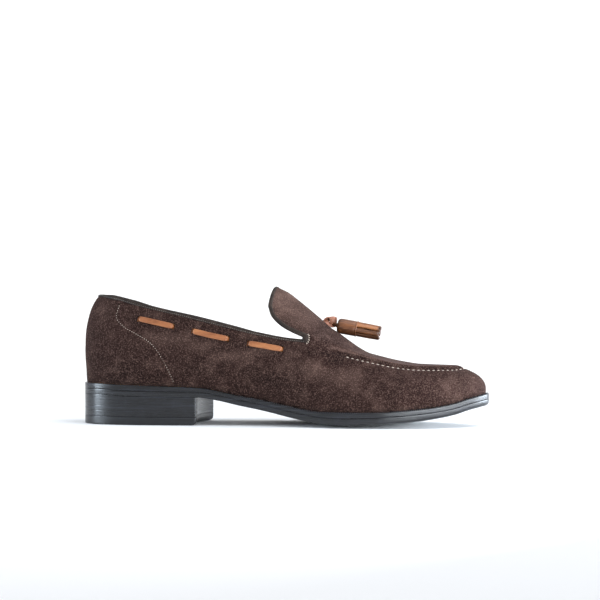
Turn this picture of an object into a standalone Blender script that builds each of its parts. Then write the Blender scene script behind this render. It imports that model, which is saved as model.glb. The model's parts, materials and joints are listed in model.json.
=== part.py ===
"""Tassel loafer for the left foot: sole, welt, heel, upper, binding, side laces, knot and tassels.

Metres. X runs from heel to toe, Y from the medial (inner) to the lateral (outer) side, Z up.
The origin lies on the floor under the middle of the heel.
"""

import math

import bmesh
import bpy
import numpy as np
from mathutils import Matrix, Vector

# Plan of the sole
SOLE_LENGTH = 0.298
BALL_WIDTH = 0.0995
WAIST_WIDTH = 0.064
HEEL_WIDTH = 0.062
ORIGIN_FROM_BACK = 0.034

# Side of the sole
HEEL_HEIGHT = 0.0205
HEEL_LENGTH = 0.0896
BREAST_HOLLOW = 0.005
TOP_PIECE_THICKNESS = 0.006
TOP_PIECE_EDGE = 0.0022
OUTSOLE_THICKNESS = 0.004
WELT_THICKNESS = 0.0035
TOE_SPRING = 0.0142
EDGE_LIFT = 0.0032
REST_DEPTH = 0.0005
WELT_MARGIN = 0.0024
WELT_SHELF = 0.002
INSOLE_RISE = 0.002

# Upper
WALL = 0.002
BACK_HEIGHT = 0.0954
BACK_LEAN = 0.0083
THROAT_FROM_BACK = 0.1745
APRON_FRONT_FROM_TOE = 0.018
TOE_HEIGHT = 0.0435
TONGUE_HEIGHT = 0.0997
TONGUE_EDGE_HEIGHT = 0.0865
TONGUE_TIP_FROM_BACK = 0.1438
BELLY = 0.006
SEAM_RISE = 0.0028
EDGE_LEAN = 0.2
EDGE_RISE = 0.5
SPINE_FLAT = 0.33
BINDING_HEIGHT = 0.0018
BINDING_LAP = 0.0004

# Side laces
LACE_WIDTH = 0.004
LACE_THICKNESS = 0.0014
LACE_DROP = 0.0083
LACE_DIVE = 0.0024
LACE_TAIL = 0.005
SLIT_LENGTH = 0.0036

# Knot and tassels. KNOT_ALONG is a share of the way up the tongue, and the tilt is in degrees.
KNOT_REACH = 0.0042
KNOT_ALONG = 0.024
KNOT_ASIDE = 0.0070
KNOT_LIFT = 0.0037
KNOT_THICKNESS = 0.0026
HEAD_LENGTH = 0.0132
HEAD_RADIUS = 0.0055
FRINGE_LENGTH = 0.0168
FRINGE_STRIPS = 7
STRIP_RELIEF = 0.0009
STRIP_RAGGED = 0.0006
THONG_RADIUS = 0.0012
TASSEL_GAP = 0.0030
TASSEL_DROP = 0.0031
TASSEL_TILT = 11.2

# Clearance between pieces that touch on the real shoe
FIT = 0.0003

# Mesh density
STATIONS = 48
THROAT_STATION = 26
WALL_ROWS = 8
PLUG_ROWS = 7
TONGUE_COLUMNS = 7
SOLE_LANES = 8

MEDIAL, LATERAL = -1, 1


def table(names, *rows):
    """A table of sections as a dictionary: column name to its numbers."""
    return dict(zip(names.split(), np.array(rows, float).T))


# Half widths of the outsole, as shares of the width in the same row.
OUTLINE = table(
    "along width medial lateral",
    (0.000, HEEL_WIDTH, 0.000, 0.000),
    (0.020, HEEL_WIDTH, 0.275, 0.265),
    (0.050, HEEL_WIDTH, 0.390, 0.390),
    (0.100, HEEL_WIDTH, 0.470, 0.485),
    (0.165, HEEL_WIDTH, 0.500, 0.525),
    (0.235, HEEL_WIDTH, 0.490, 0.540),
    (0.320, WAIST_WIDTH, 0.445, 0.550),
    (0.420, WAIST_WIDTH, 0.445, 0.610),
    (0.520, BALL_WIDTH, 0.350, 0.452),
    (0.620, BALL_WIDTH, 0.440, 0.503),
    (0.680, BALL_WIDTH, 0.477, 0.517),
    (0.740, BALL_WIDTH, 0.482, 0.503),
    (0.800, BALL_WIDTH, 0.457, 0.455),
    (0.860, BALL_WIDTH, 0.400, 0.378),
    (0.920, BALL_WIDTH, 0.308, 0.270),
    (0.960, BALL_WIDTH, 0.232, 0.172),
    (0.985, BALL_WIDTH, 0.155, 0.077),
    (1.000, BALL_WIDTH, 0.040, -0.040),
)

# Underside of the outsole. heel is the share of HEEL_HEIGHT, toe of TOE_SPRING, lift of EDGE_LIFT.
PROFILE = table(
    "along heel toe lift",
    (0.000, 1.000, 0.000, 0.00),
    (0.305, 1.000, 0.000, 0.00),
    (0.345, 0.880, 0.000, 0.15),
    (0.410, 0.640, 0.000, 0.40),
    (0.460, 0.475, 0.000, 0.60),
    (0.510, 0.300, 0.000, 0.78),
    (0.560, 0.140, 0.000, 0.92),
    (0.610, 0.025, 0.000, 1.00),
    (0.655, 0.000, 0.000, 1.00),
    (0.710, 0.000, 0.025, 1.00),
    (0.760, 0.000, 0.080, 1.00),
    (0.810, 0.000, 0.155, 0.94),
    (0.870, 0.000, 0.310, 0.84),
    (0.920, 0.000, 0.520, 0.68),
    (0.960, 0.000, 0.820, 0.45),
    (1.000, 0.000, 1.050, 0.30),
)

# How far the upper stands in from the edge of the welt, as shares of WELT_MARGIN.
MARGIN = table(
    "along share",
    (0.00, 0.62),
    (0.30, 0.70),
    (0.50, 1.00),
    (0.65, 1.25),
    (0.85, 1.10),
    (1.00, 1.00),
)

# Collar from the middle of the back to the throat. Widths are shares of BALL_WIDTH, heights of BACK_HEIGHT.
TOPLINE = table(
    "way medial lateral medial_height lateral_height",
    (0.00, 0.000, 0.000, 1.000, 1.000),
    (0.03, 0.115, 0.115, 0.999, 0.997),
    (0.12, 0.221, 0.226, 0.974, 0.956),
    (0.21, 0.259, 0.266, 0.932, 0.906),
    (0.40, 0.284, 0.296, 0.857, 0.831),
    (0.57, 0.303, 0.322, 0.787, 0.756),
    (0.75, 0.320, 0.347, 0.714, 0.673),
    (0.88, 0.332, 0.362, 0.673, 0.632),
    (1.00, 0.342, 0.372, 0.650, 0.608),
)

# Moccasin seam from the throat to the toe. Widths are shares of BALL_WIDTH, heights of TOE_HEIGHT,
# spine of SOLE_LENGTH, rise and inset of SEAM_RISE.
SEAM = table(
    "way medial lateral medial_height lateral_height spine rise inset",
    (0.15, 0.314, 0.333, 1.232, 1.184, 0.646, 1.64, 1.25),
    (0.25, 0.298, 0.312, 1.154, 1.131, 0.681, 1.50, 1.14),
    (0.40, 0.283, 0.290, 1.067, 1.057, 0.732, 1.21, 0.79),
    (0.55, 0.263, 0.264, 0.991, 0.989, 0.779, 1.04, 0.50),
    (0.70, 0.226, 0.220, 0.949, 0.949, 0.822, 0.93, 0.40),
    (0.85, 0.164, 0.152, 0.943, 0.943, 0.852, 0.93, 0.36),
    (0.95, 0.095, 0.065, 0.938, 0.938, 0.871, 1.00, 0.36),
    (1.00, 0.020, -0.020, 0.943, 0.943, 0.879, 0.93, 0.43),
)
THROAT_SPINE = 0.609

# Top of the instep and apron. height runs from TOE_HEIGHT (0) to TONGUE_HEIGHT (1).
SPINE = table(
    "along height",
    (0.484, 1.000),
    (0.510, 0.932),
    (0.537, 0.824),
    (0.564, 0.708),
    (0.592, 0.583),
    (0.611, 0.493),
    (0.640, 0.390),
    (0.660, 0.312),
    (0.684, 0.222),
    (0.708, 0.148),
    (0.755, 0.062),
    (0.802, 0.018),
    (0.850, 0.002),
    (0.880, 0.000),
)

# Side edge of the tongue from the throat (0) to its end (1).
TONGUE = table(
    "way back width up",
    (0.00, 0.00, 1.000, 0.00),
    (0.30, 0.32, 0.985, 0.16),
    (0.60, 0.71, 0.925, 0.44),
    (0.85, 0.93, 0.860, 0.75),
    (1.00, 1.00, 0.775, 1.00),
)

# Shape of the wall between the welt and the collar or seam. Each line up the wall is a Bezier curve:
# rise and drop are the heights of its handles, as shares of the wall's height, the outs are shares of
# BELLY, and back is how far the upper handle lies back over the welt.
SECTIONS = table(
    "along rise medial_out lateral_out back upper_out drop",
    (0.00, 0.36, 0.35, 0.35, 1.00, 0.55, 0.22),
    (0.08, 0.33, 0.75, 0.75, 0.80, 0.60, 0.34),
    (0.20, 0.33, 1.00, 0.95, 0.50, 0.75, 0.35),
    (0.38, 0.36, 1.30, 0.90, 0.30, 0.70, 0.36),
    (0.52, 0.40, 1.00, 0.70, 0.35, 0.70, 0.36),
    (0.60, 0.44, 0.60, 0.50, 0.40, 0.60, 0.34),
    (0.70, 0.46, 0.35, 0.35, 0.50, 0.30, 0.26),
    (0.85, 0.50, 0.25, 0.25, 0.60, 0.10, 0.20),
    (1.00, 0.52, 0.28, 0.28, 0.66, 0.00, 0.20),
)

# Outer runs of each side lace, as shares of SOLE_LENGTH from the back.
LACE_RUNS = table("start end drop", (0.171, 0.247, 1.30), (0.303, 0.382, 1.26), (0.439, 0.515, 1.06))

# Turns of the knot: their place in shares of KNOT_REACH, their angles in degrees, and their size.
KNOT_LOOPS = table(
    "back aside up roll pitch size",
    (0.0, 0.0, 0.0, 0, 70, 1.0),
    (-0.5, 0.14, 0.1, 80, 25, 0.8),
    (0.5, -0.14, 0.2, 100, -25, 0.8),
)

# Length of a tassel: way runs along its head (0 to 1) and its fringe (1 to 2), radius is a share of
# HEAD_RADIUS, relief of STRIP_RELIEF and ragged of STRIP_RAGGED.
TASSEL = table(
    "way radius relief ragged",
    (0.00, 0.20, 0.0, 0),
    (0.03, 0.72, 0.0, 0),
    (0.16, 0.94, 0.0, 0),
    (0.55, 1.00, 0.0, 0),
    (0.92, 0.97, 0.0, 0),
    (1.00, 0.88, 0.2, 0),
    (1.08, 0.92, 1.0, 0),
    (1.50, 0.89, 1.0, 0),
    (2.00, 0.84, 1.0, 1),
)

# Medial and lateral tassel: turn aside in degrees, place aside and back in shares of HEAD_RADIUS.
TASSEL_PLACES = table("side turn aside back", (MEDIAL, 1.0, 0.55, 0.0), (LATERAL, 8.0, 1.52, 0.26))


def smooth(knots, values, at):
    """A cubic through the rows of a table that never overshoots them."""
    step = np.diff(knots)
    slope = np.diff(values) / step
    before, after = slope[:-1], slope[1:]
    agree = before * after > 0
    total = np.where(agree, before + after, 1.0)
    inner = np.where(agree, 2 * before * after / total, 0.0)
    tangent = np.concatenate([slope[:1], inner, slope[-1:]])
    at = np.clip(np.asarray(at, float), knots[0], knots[-1])
    i = np.clip(np.searchsorted(knots, at, side="right") - 1, 0, len(step) - 1)
    t = (at - knots[i]) / step[i]
    start = values[i] * (1 + 2 * t) * (1 - t) ** 2 + tangent[i] * step[i] * t * (1 - t) ** 2
    end = values[i + 1] * (3 - 2 * t) * t**2 - tangent[i + 1] * step[i] * (1 - t) * t**2
    return start + end


def read(rows, name, along):
    return smooth(rows["along"], rows[name], along)


def along_of(u):
    """Share of the length at station u, with the stations closer together at heel and toe."""
    return (1 - np.cos(math.pi * np.asarray(u, float))) / 2


def station_of(along):
    return np.arccos(np.clip(1 - 2 * np.asarray(along, float), -1, 1)) / math.pi


def side_name(side):
    return "medial" if side == MEDIAL else "lateral"


def edge_line(side, u):
    """Edge of the outsole seen from above."""
    half = OUTLINE[side_name(side)] * OUTLINE["width"]
    y = side * smooth(station_of(OUTLINE["along"]), half, u)
    return np.stack([SOLE_LENGTH * along_of(u), y], axis=-1)


def outward(side, u):
    """Unit vector in plan that points away from the sole."""
    small = 1e-3
    ahead = edge_line(side, np.clip(u + small, 0, 1)) - edge_line(side, np.clip(u - small, 0, 1))
    ahead[..., 0] = np.where(np.asarray(u) < small, 0.0, ahead[..., 0])
    ahead[..., 0] = np.where(np.asarray(u) > 1 - small, 0.0, ahead[..., 0])
    ahead /= np.linalg.norm(ahead, axis=-1, keepdims=True)
    return np.stack([-side * ahead[..., 1], side * ahead[..., 0]], axis=-1)


def inset_line(side, u, inset):
    """The sole's edge moved inwards."""
    inset = np.asarray(inset, float)[..., None] * np.ones((np.size(u), 1))
    return edge_line(side, u) - outward(side, u) * inset


def feather_inset(u):
    return WELT_MARGIN * read(MARGIN, "share", along_of(u))


def sole_floor(along):
    """Height of the middle of the outsole's underside."""
    heel = HEEL_HEIGHT * read(PROFILE, "heel", along)
    return heel + TOE_SPRING * read(PROFILE, "toe", along)


def edge_floor(along):
    """Height of the edge of the outsole's underside, which curves up from the middle."""
    return sole_floor(along) + EDGE_LIFT * read(PROFILE, "lift", along)


def outsole_top(along):
    return edge_floor(along) + OUTSOLE_THICKNESS


def welt_top(along):
    return outsole_top(along) + FIT + WELT_THICKNESS


def rise_to(points, height):
    """Plan points with a height, moved so that the origin is under the heel."""
    height = np.broadcast_to(height, points.shape[:-1])
    return np.concatenate([points - [ORIGIN_FROM_BACK, 0], height[..., None]], axis=-1)


def bezier(a, b, c, d, t):
    t = np.asarray(t, float)[None, :, None]
    a, b, c, d = (p[:, None, :] for p in (a, b, c, d))
    return a * (1 - t) ** 3 + 3 * b * (1 - t) ** 2 * t + 3 * c * (1 - t) * t**2 + d * t**3


def unit(vectors):
    return vectors / np.linalg.norm(vectors, axis=-1, keepdims=True)


def normals_of(grid):
    """Unit normals of a grid of points, by its rows and columns."""
    across = np.gradient(grid, axis=0)
    up = np.gradient(grid, axis=1)
    return unit(np.cross(across, up))


THROAT_U = THROAT_STATION / STATIONS
THROAT_ALONG = float(along_of(THROAT_U))
TOP_BACK = BACK_LEAN + WELT_MARGIN * MARGIN["share"][0]
BINDING_DEPTH = BINDING_HEIGHT + FIT


def wall_foot(side, u):
    """Where the upper stands on the welt."""
    return rise_to(inset_line(side, u, feather_inset(u)), welt_top(along_of(u)) + FIT)


def wall_top(side, u):
    """Edge of the upper under the collar's binding and, ahead of the throat, the foot of the raised seam."""
    name = side_name(side)
    collar = station_of(THROAT_ALONG * TOPLINE["way"])
    front = station_of(THROAT_ALONG + (1 - THROAT_ALONG) * SEAM["way"])
    knots = np.concatenate([collar, front])
    along = along_of(u)
    to_throat = TOP_BACK + (THROAT_FROM_BACK - TOP_BACK) * along / THROAT_ALONG
    past = (along - THROAT_ALONG) / (1 - THROAT_ALONG)
    to_toe = THROAT_FROM_BACK + (SOLE_LENGTH - APRON_FRONT_FROM_TOE - THROAT_FROM_BACK) * past
    y = side * BALL_WIDTH * np.concatenate([TOPLINE[name], SEAM[name]])
    collar_height = BACK_HEIGHT * TOPLINE[name + "_height"] - BINDING_DEPTH
    z = np.concatenate([collar_height, TOE_HEIGHT * SEAM[name + "_height"]])
    plan = np.stack([np.where(past < 0, to_throat, to_toe), smooth(knots, y, u)], axis=-1)
    return rise_to(plan, smooth(knots, z, u))


def wall_lines(side, u, t):
    """Points of the wall on each station's line, from the welt (t 0) to its top (t 1)."""
    along = along_of(u)
    foot, top = wall_foot(side, u), wall_top(side, u)
    height = (top - foot)[:, 2:]
    out = np.concatenate([outward(side, u), np.zeros((len(u), 1))], axis=1) * BELLY
    up = np.array([[0, 0, 1.0]]) * height
    level = foot - top
    level[:, 2] = 0
    shape = {name: read(SECTIONS, name, along)[:, None] for name in SECTIONS}
    lower = foot + up * shape["rise"] + out * shape[side_name(side) + "_out"]
    upper = top - up * shape["drop"] + level * shape["back"] + out * shape["upper_out"]
    return bezier(foot, lower, upper, top, t)


def spine_points(x):
    """Points on the top of the instep, at distances x from the back."""
    share = read(SPINE, "height", x / SOLE_LENGTH)
    height = TOE_HEIGHT + (TONGUE_HEIGHT - TOE_HEIGHT) * share
    toe_drift = OUTLINE["medial"][-1] * BALL_WIDTH
    drift = -toe_drift * np.clip((x - THROAT_FROM_BACK) / (SOLE_LENGTH - THROAT_FROM_BACK), 0, 1)
    return rise_to(np.stack([x, drift], axis=-1), height)


def plug_lines(edge, x, t):
    """Lines over the apron or the tongue, from its edge to the spine, which they cross square."""
    small = 1e-4
    top = spine_points(x)
    slope = (spine_points(x + small) - spine_points(x - small)) / (2 * small)
    level = edge - top
    level[:, 2] = level[:, 0] * slope[:, 2]
    lean = EDGE_LEAN * (top - edge)
    lean[:, 2] = EDGE_RISE * (top - edge)[:, 2]
    return bezier(edge, edge + lean, top + SPINE_FLAT * level, top, t)


def apron_edge(side, u):
    """Crest of the raised seam, above and just inside its foot."""
    knots = np.concatenate([[THROAT_U], station_of(THROAT_ALONG + (1 - THROAT_ALONG) * SEAM["way"])])
    notch = 2 * BINDING_DEPTH + FIT
    rise = smooth(knots, np.concatenate([[notch], SEAM_RISE * SEAM["rise"]]), u)
    inset = smooth(knots, np.concatenate([[BINDING_LAP], SEAM_RISE * SEAM["inset"]]), u)
    edge = wall_top(side, u)
    edge[:, :2] -= outward(side, u) * inset[:, None]
    edge[:, 2] += rise
    return edge


def apron_lines(side, u, t):
    knots = np.concatenate([[THROAT_U], station_of(THROAT_ALONG + (1 - THROAT_ALONG) * SEAM["way"])])
    x = SOLE_LENGTH * smooth(knots, np.concatenate([[THROAT_SPINE], SEAM["spine"]]), u)
    return plug_lines(apron_edge(side, u), x, t)


def tongue_lines(side, way, t):
    """Lines over the tongue, from its side edge to the spine."""
    corner = apron_edge(side, np.array([THROAT_U]))[0]
    end_x = TONGUE_TIP_FROM_BACK - ORIGIN_FROM_BACK
    edge = np.stack(
        [
            corner[0] + (end_x - corner[0]) * smooth(TONGUE["way"], TONGUE["back"], way),
            corner[1] * smooth(TONGUE["way"], TONGUE["width"], way),
            corner[2] + (TONGUE_EDGE_HEIGHT - corner[2]) * smooth(TONGUE["way"], TONGUE["up"], way),
        ],
        axis=-1,
    )
    start = THROAT_SPINE * SOLE_LENGTH
    return plug_lines(edge, start + (TONGUE_TIP_FROM_BACK - start) * way, t)


def add_grid(bm, grid, flip):
    """Quads over a grid of points."""
    verts = [[bm.verts.new(point) for point in line] for line in grid.tolist()]
    for left, right in zip(verts, verts[1:]):
        for a, b, c, d in zip(left, right, right[1:], left[1:]):
            bm.faces.new((a, d, c, b) if flip else (a, b, c, d))


def add_loops(bm, loops, closed):
    """Skin over a row of section loops. Without closed, the first and last loops get a cap."""
    verts = [[bm.verts.new(point) for point in loop] for loop in loops]
    pairs = list(zip(verts, verts[1:]))
    if closed:
        pairs.append((verts[-1], verts[0]))
    for one, other in pairs:
        for i in range(len(one)):
            j = (i + 1) % len(one)
            bm.faces.new((one[i], one[j], other[j], other[i]))
    if not closed:
        bm.faces.new(verts[0][::-1])
        bm.faces.new(verts[-1])


def object_from(bm, name, collection, closed=True):
    """A named object from a bmesh, with doubles merged and, on a closed piece, its faces turned out."""
    bmesh.ops.remove_doubles(bm, verts=bm.verts, dist=1e-6)
    bmesh.ops.dissolve_degenerate(bm, dist=1e-7, edges=bm.edges)
    if closed:
        bmesh.ops.recalc_face_normals(bm, faces=bm.faces)
    mesh = bpy.data.meshes.new(name)
    bm.to_mesh(mesh)
    bm.free()
    mesh.shade_smooth()
    mesh.set_sharp_from_angle(angle=math.radians(35))
    obj = bpy.data.objects.new(name, mesh)
    collection.objects.link(obj)
    return obj


def material(name, rgb, roughness):
    made = bpy.data.materials.new(name)
    made.use_nodes = True
    shader = made.node_tree.nodes["Principled BSDF"]
    shader.inputs["Base Color"].default_value = (*rgb, 1)
    shader.inputs["Roughness"].default_value = roughness
    shader.inputs["Metallic"].default_value = 0
    return made


def both_sides(make):
    """The medial and the lateral points that make returns, in that order."""
    return make(MEDIAL), make(LATERAL)


def sole_sections(inset, bottom, top, lanes=()):
    """Section loops from heel to toe. lanes are inner points of the underside, as shares of the width."""
    u = np.linspace(0, 1, STATIONS + 1)
    medial, lateral = both_sides(lambda side: inset_line(side, u, inset(u)))
    along = along_of(u)
    loops = []
    for k in range(len(u)):
        share = np.array([0.0, *lanes, 1.0])[:, None]
        plan = medial[k] * (1 - share) + lateral[k] * share
        under = rise_to(plan, bottom(along[k], share[:, 0]))
        over = rise_to(plan[[-1, 0]], top(along[k]))
        loops.append(np.concatenate([under, over]).tolist())
    return loops


def make_outsole(collection):
    lanes = (1 - np.cos(math.pi * np.arange(1, SOLE_LANES) / SOLE_LANES)) / 2

    def underside(along, share):
        bowed = sole_floor(along) + (edge_floor(along) - sole_floor(along)) * (2 * share - 1) ** 2
        return np.maximum(bowed - REST_DEPTH * (1 - read(PROFILE, "heel", along)), 0)

    bm = bmesh.new()
    add_loops(bm, sole_sections(np.zeros_like, underside, outsole_top, lanes), closed=False)
    return object_from(bm, "outsole", collection)


def ring_loops(outer, inner, bottom, top):
    """Rectangular sections round the shoe: heel to toe on the medial side, then back on the lateral."""
    u = np.linspace(0, 1, STATIONS + 1)
    loops = []
    for side, order in ((MEDIAL, range(STATIONS)), (LATERAL, range(STATIONS, 0, -1))):
        out_line = inset_line(side, u, outer(u))
        in_line = inset_line(side, u, inner(u))
        for k in order:
            plan = np.stack([out_line[k], in_line[k], in_line[k], out_line[k]])
            low, high = bottom(along_of(u[k])), top(along_of(u[k]))
            loops.append(rise_to(plan, np.array([low, low, high, high])).tolist())
    return loops


def welt_inner(u):
    return feather_inset(u) + WALL + WELT_SHELF


def make_welt(collection):
    bm = bmesh.new()
    loops = ring_loops(np.zeros_like, welt_inner, lambda a: outsole_top(a) + FIT, welt_top)
    add_loops(bm, loops, closed=True)
    return object_from(bm, "welt", collection)


def make_insole(collection):
    """A plate with a lower step: the step fills the welt's ring, the plate lies on the welt."""
    u = np.linspace(0, 1, STATIONS + 1)
    along = along_of(u)
    step = both_sides(lambda side: inset_line(side, u, welt_inner(u) + FIT))
    plate = both_sides(lambda side: inset_line(side, u, feather_inset(u) + WALL + 2 * FIT))
    floor = outsole_top(along) + FIT
    shelf = welt_top(along) + FIT
    loops = []
    for k in range(len(u)):
        plan = [step[0], step[1], step[1], plate[1], plate[1], plate[0], plate[0], step[0]]
        level = [floor, floor, shelf, shelf, shelf + INSOLE_RISE, shelf + INSOLE_RISE, shelf, shelf]
        points = np.stack([line[k] for line in plan])
        loops.append(rise_to(points, np.array([height[k] for height in level])).tolist())
    bm = bmesh.new()
    add_loops(bm, loops, closed=False)
    return object_from(bm, "insole", collection)


def heel_outline():
    """Plan of the heel: round the back between the breast's corners, then along the hollow breast."""
    last = float(station_of(HEEL_LENGTH / SOLE_LENGTH))
    u = np.linspace(0, last, STATIONS // 2)
    medial, lateral = both_sides(lambda side: edge_line(side, u))
    share = np.linspace(0, 1, 13)[1:-1, None]
    breast = lateral[-1] * (1 - share) + medial[-1] * share
    breast[:, 0] -= BREAST_HOLLOW * 4 * share[:, 0] * (1 - share[:, 0])
    return np.concatenate([medial[::-1], lateral[1:], breast])


def make_heel_layer(name, low, high, front_edge, collection):
    plan = heel_outline()
    bm = bmesh.new()
    floor = [bm.verts.new(point) for point in rise_to(plan, low).tolist()]
    roof = [bm.verts.new(point) for point in rise_to(plan, high).tolist()]
    bm.faces.new(floor[::-1])
    bm.faces.new(roof)
    for i in range(len(floor)):
        j = (i + 1) % len(floor)
        bm.faces.new((floor[i], floor[j], roof[j], roof[i]))
    if front_edge:
        breast_x = HEEL_LENGTH - BREAST_HOLLOW - ORIGIN_FROM_BACK - FIT
        front = [edge for edge in bm.edges if all(v.co.x > breast_x and v.co.z <= low for v in edge.verts)]
        bmesh.ops.bevel(bm, geom=front, offset=front_edge, segments=2, affect="EDGES", profile=0.5)
    return object_from(bm, name, collection)


def make_upper(collection):
    """One open surface in mirrored patches, thickened inwards and cut by the lace slits."""
    stations = np.arange(STATIONS + 1) / STATIONS
    front = stations[THROAT_STATION:]
    wall_t = np.linspace(0, 1, WALL_ROWS + 1)
    plug_t = np.linspace(0, 1, PLUG_ROWS + 1)
    way = np.linspace(0, 1, TONGUE_COLUMNS + 1)
    bm = bmesh.new()
    for side in (MEDIAL, LATERAL):
        flip = side == LATERAL
        add_grid(bm, wall_lines(side, stations, wall_t), flip)
        add_grid(bm, np.stack([wall_top(side, front), apron_edge(side, front)], axis=1), flip)
        add_grid(bm, apron_lines(side, front, plug_t), flip)
        add_grid(bm, tongue_lines(side, way, plug_t), not flip)
    upper = object_from(bm, "upper", collection, closed=False)
    solidify = upper.modifiers.new("wall", "SOLIDIFY")
    solidify.thickness = WALL
    solidify.offset = -1
    solidify.use_even_offset = True
    solidify.use_quality_normals = True
    return upper


def sweep(bm, path, side, up, section):
    """A solid strip: section points (across, up) carried along a path with its own frame."""
    loops = []
    for point, across, over in zip(path, side, up):
        loops.append([(point + across * a + over * b).tolist() for a, b in section])
    add_loops(bm, loops, closed=False)


def binding_section():
    """Rounded strip that sits on the edge of the wall and laps a little over both of its faces."""
    half = WALL / 2 + BINDING_LAP
    shoulder = FIT + BINDING_HEIGHT * 0.55
    crown = FIT + BINDING_HEIGHT
    return ((-half, FIT), (half, FIT), (half, shoulder), (half * 0.55, crown), (-half * 0.55, crown), (-half, shoulder))


def make_binding(name, path, normal, collection):
    """Binding along an edge of the upper. normal points out of the shoe, and the shoe is on the path's left."""
    ahead = unit(np.gradient(path, axis=0))
    over = unit(np.cross(ahead, normal))
    across = unit(np.cross(over, ahead))
    middle = path - normal * WALL / 2
    middle[0] += ahead[0] * 3 * FIT
    middle[-1] -= ahead[-1] * 3 * FIT
    bm = bmesh.new()
    sweep(bm, middle, across, over, binding_section())
    return object_from(bm, name, collection)


def collar_grid():
    """The wall's lines from the medial throat round the back to the lateral throat."""
    stations = np.arange(THROAT_STATION + 1) / STATIONS
    rows = np.linspace(0, 1, WALL_ROWS + 1)
    medial, lateral = both_sides(lambda side: wall_lines(side, stations, rows))
    return np.concatenate([medial[::-1], lateral[1:]])


def tongue_grid():
    """The tongue's lines from the throat to its end, each from the medial to the lateral edge."""
    way = np.linspace(0, 1, TONGUE_COLUMNS + 1)
    rows = np.linspace(0, 1, PLUG_ROWS + 1)
    medial, lateral = both_sides(lambda side: tongue_lines(side, way, rows))
    return np.concatenate([medial, lateral[:, -2::-1]], axis=1)


def make_bindings(collection):
    collar = collar_grid()
    normal = -normals_of(collar)[:, -1]
    made = [make_binding("topline_binding", collar[:, -1], normal, collection)]
    tongue = tongue_grid()
    normal = -normals_of(tongue)
    border = [(slice(None, -1), -1), (-1, slice(None, None, -1)), (slice(-2, None, -1), 0)]
    path = np.concatenate([tongue[part] for part in border])
    normal = np.concatenate([normal[part] for part in border])
    made.append(make_binding("tongue_binding", path, normal, collection))
    return made


def lace_frame(side, x, drop):
    """Points on the wall a given drop below the collar, with directions along, out and up the wall."""
    way = (x - TOP_BACK) / (THROAT_FROM_BACK - TOP_BACK)
    u = station_of(THROAT_ALONG * way)
    rows = np.linspace(0.4, 1, 61)
    lines = wall_lines(side, u, rows)
    points = np.empty((len(u), 3))
    up = np.empty((len(u), 3))
    for k, line in enumerate(lines):
        level = line[-1, 2] + BINDING_DEPTH - drop[k]
        points[k] = [np.interp(level, line[:, 2], line[:, axis]) for axis in range(3)]
        i = int(np.clip(np.searchsorted(line[:, 2], level), 1, len(rows) - 1))
        up[k] = line[i] - line[i - 1]
    ahead = unit(np.gradient(points, axis=0))
    out = unit(np.cross(ahead, up)) * -side
    return points, ahead, out


def lace_depth(x):
    """Height of the lace's middle over the outer face: above it on the runs, inside it between them."""
    outside = FIT + LACE_THICKNESS / 2
    inside = -(WALL + FIT + LACE_THICKNESS / 2)
    depth = np.full_like(x, inside)
    for start, end in zip(LACE_RUNS["start"], LACE_RUNS["end"]):
        rise = np.clip((x - start * SOLE_LENGTH) / LACE_DIVE + 0.5, 0, 1)
        fall = np.clip((x - end * SOLE_LENGTH) / LACE_DIVE + 0.5, 0, 1)
        share = rise**2 * (3 - 2 * rise) - fall**2 * (3 - 2 * fall)
        depth += (outside - inside) * share
    return depth


def lace_drop(x):
    middle = SOLE_LENGTH * (LACE_RUNS["start"] + LACE_RUNS["end"]) / 2
    return LACE_DROP * np.interp(x, middle, LACE_RUNS["drop"])


def lace_stations():
    """Distances from the back of the lace's sections, closer together where it dives through a slit."""
    first = LACE_RUNS["start"][0] * SOLE_LENGTH - LACE_TAIL
    last = LACE_RUNS["end"][-1] * SOLE_LENGTH + LACE_TAIL
    ends = SOLE_LENGTH * np.sort(np.concatenate([LACE_RUNS["start"], LACE_RUNS["end"]]))
    dives = (ends[:, None] + LACE_DIVE * np.linspace(-0.55, 0.55, 5)).ravel()
    plain = np.concatenate([np.linspace(a, b, 5)[1:-1] for a, b in zip(ends[:-1], ends[1:])])
    return np.sort(np.concatenate([[first, last], dives, plain]))


def make_lace(side, collection):
    x = lace_stations()
    points, ahead, out = lace_frame(side, x, lace_drop(x))
    middle = points + out * lace_depth(x)[:, None]
    across = unit(np.cross(ahead, out))
    run = unit(np.gradient(middle, axis=0))
    over = unit(np.cross(across, run))
    wide, thick = LACE_WIDTH / 2, LACE_THICKNESS / 2
    section = ((-wide, -thick), (wide, -thick), (wide, thick), (-wide, thick))
    bm = bmesh.new()
    sweep(bm, middle, across, over, section)
    return object_from(bm, "side_lace_" + side_name(side), collection)


def cut_slits(upper, cutters):
    """Slits through the upper's wall where the laces dive."""
    ends = SOLE_LENGTH * np.sort(np.concatenate([LACE_RUNS["start"], LACE_RUNS["end"]]))
    deep = WALL + 2 * (LACE_THICKNESS + FIT)
    bm = bmesh.new()
    for side in (MEDIAL, LATERAL):
        for x in ends:
            near = np.array([x - 0.5 * LACE_DIVE, x, x + 0.5 * LACE_DIVE])
            points, ahead, out = lace_frame(side, near, lace_drop(near))
            along, away = Vector(ahead[1]), Vector(out[1])
            turn = Matrix((along, away.cross(along), away)).transposed().to_4x4()
            place = Matrix.Translation(Vector(points[1] - out[1] * WALL / 2)) @ turn
            size = Matrix.Diagonal((SLIT_LENGTH, LACE_WIDTH + 4 * FIT, deep, 1))
            bmesh.ops.create_cube(bm, size=1, matrix=place @ size)
    cutter = object_from(bm, "lace_slits", cutters)
    cutter.hide_render = True
    cutter.display_type = "WIRE"
    cut = upper.modifiers.new("slits", "BOOLEAN")
    cut.object = cutter
    cut.operation = "DIFFERENCE"
    cut.solver = "EXACT"


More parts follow.
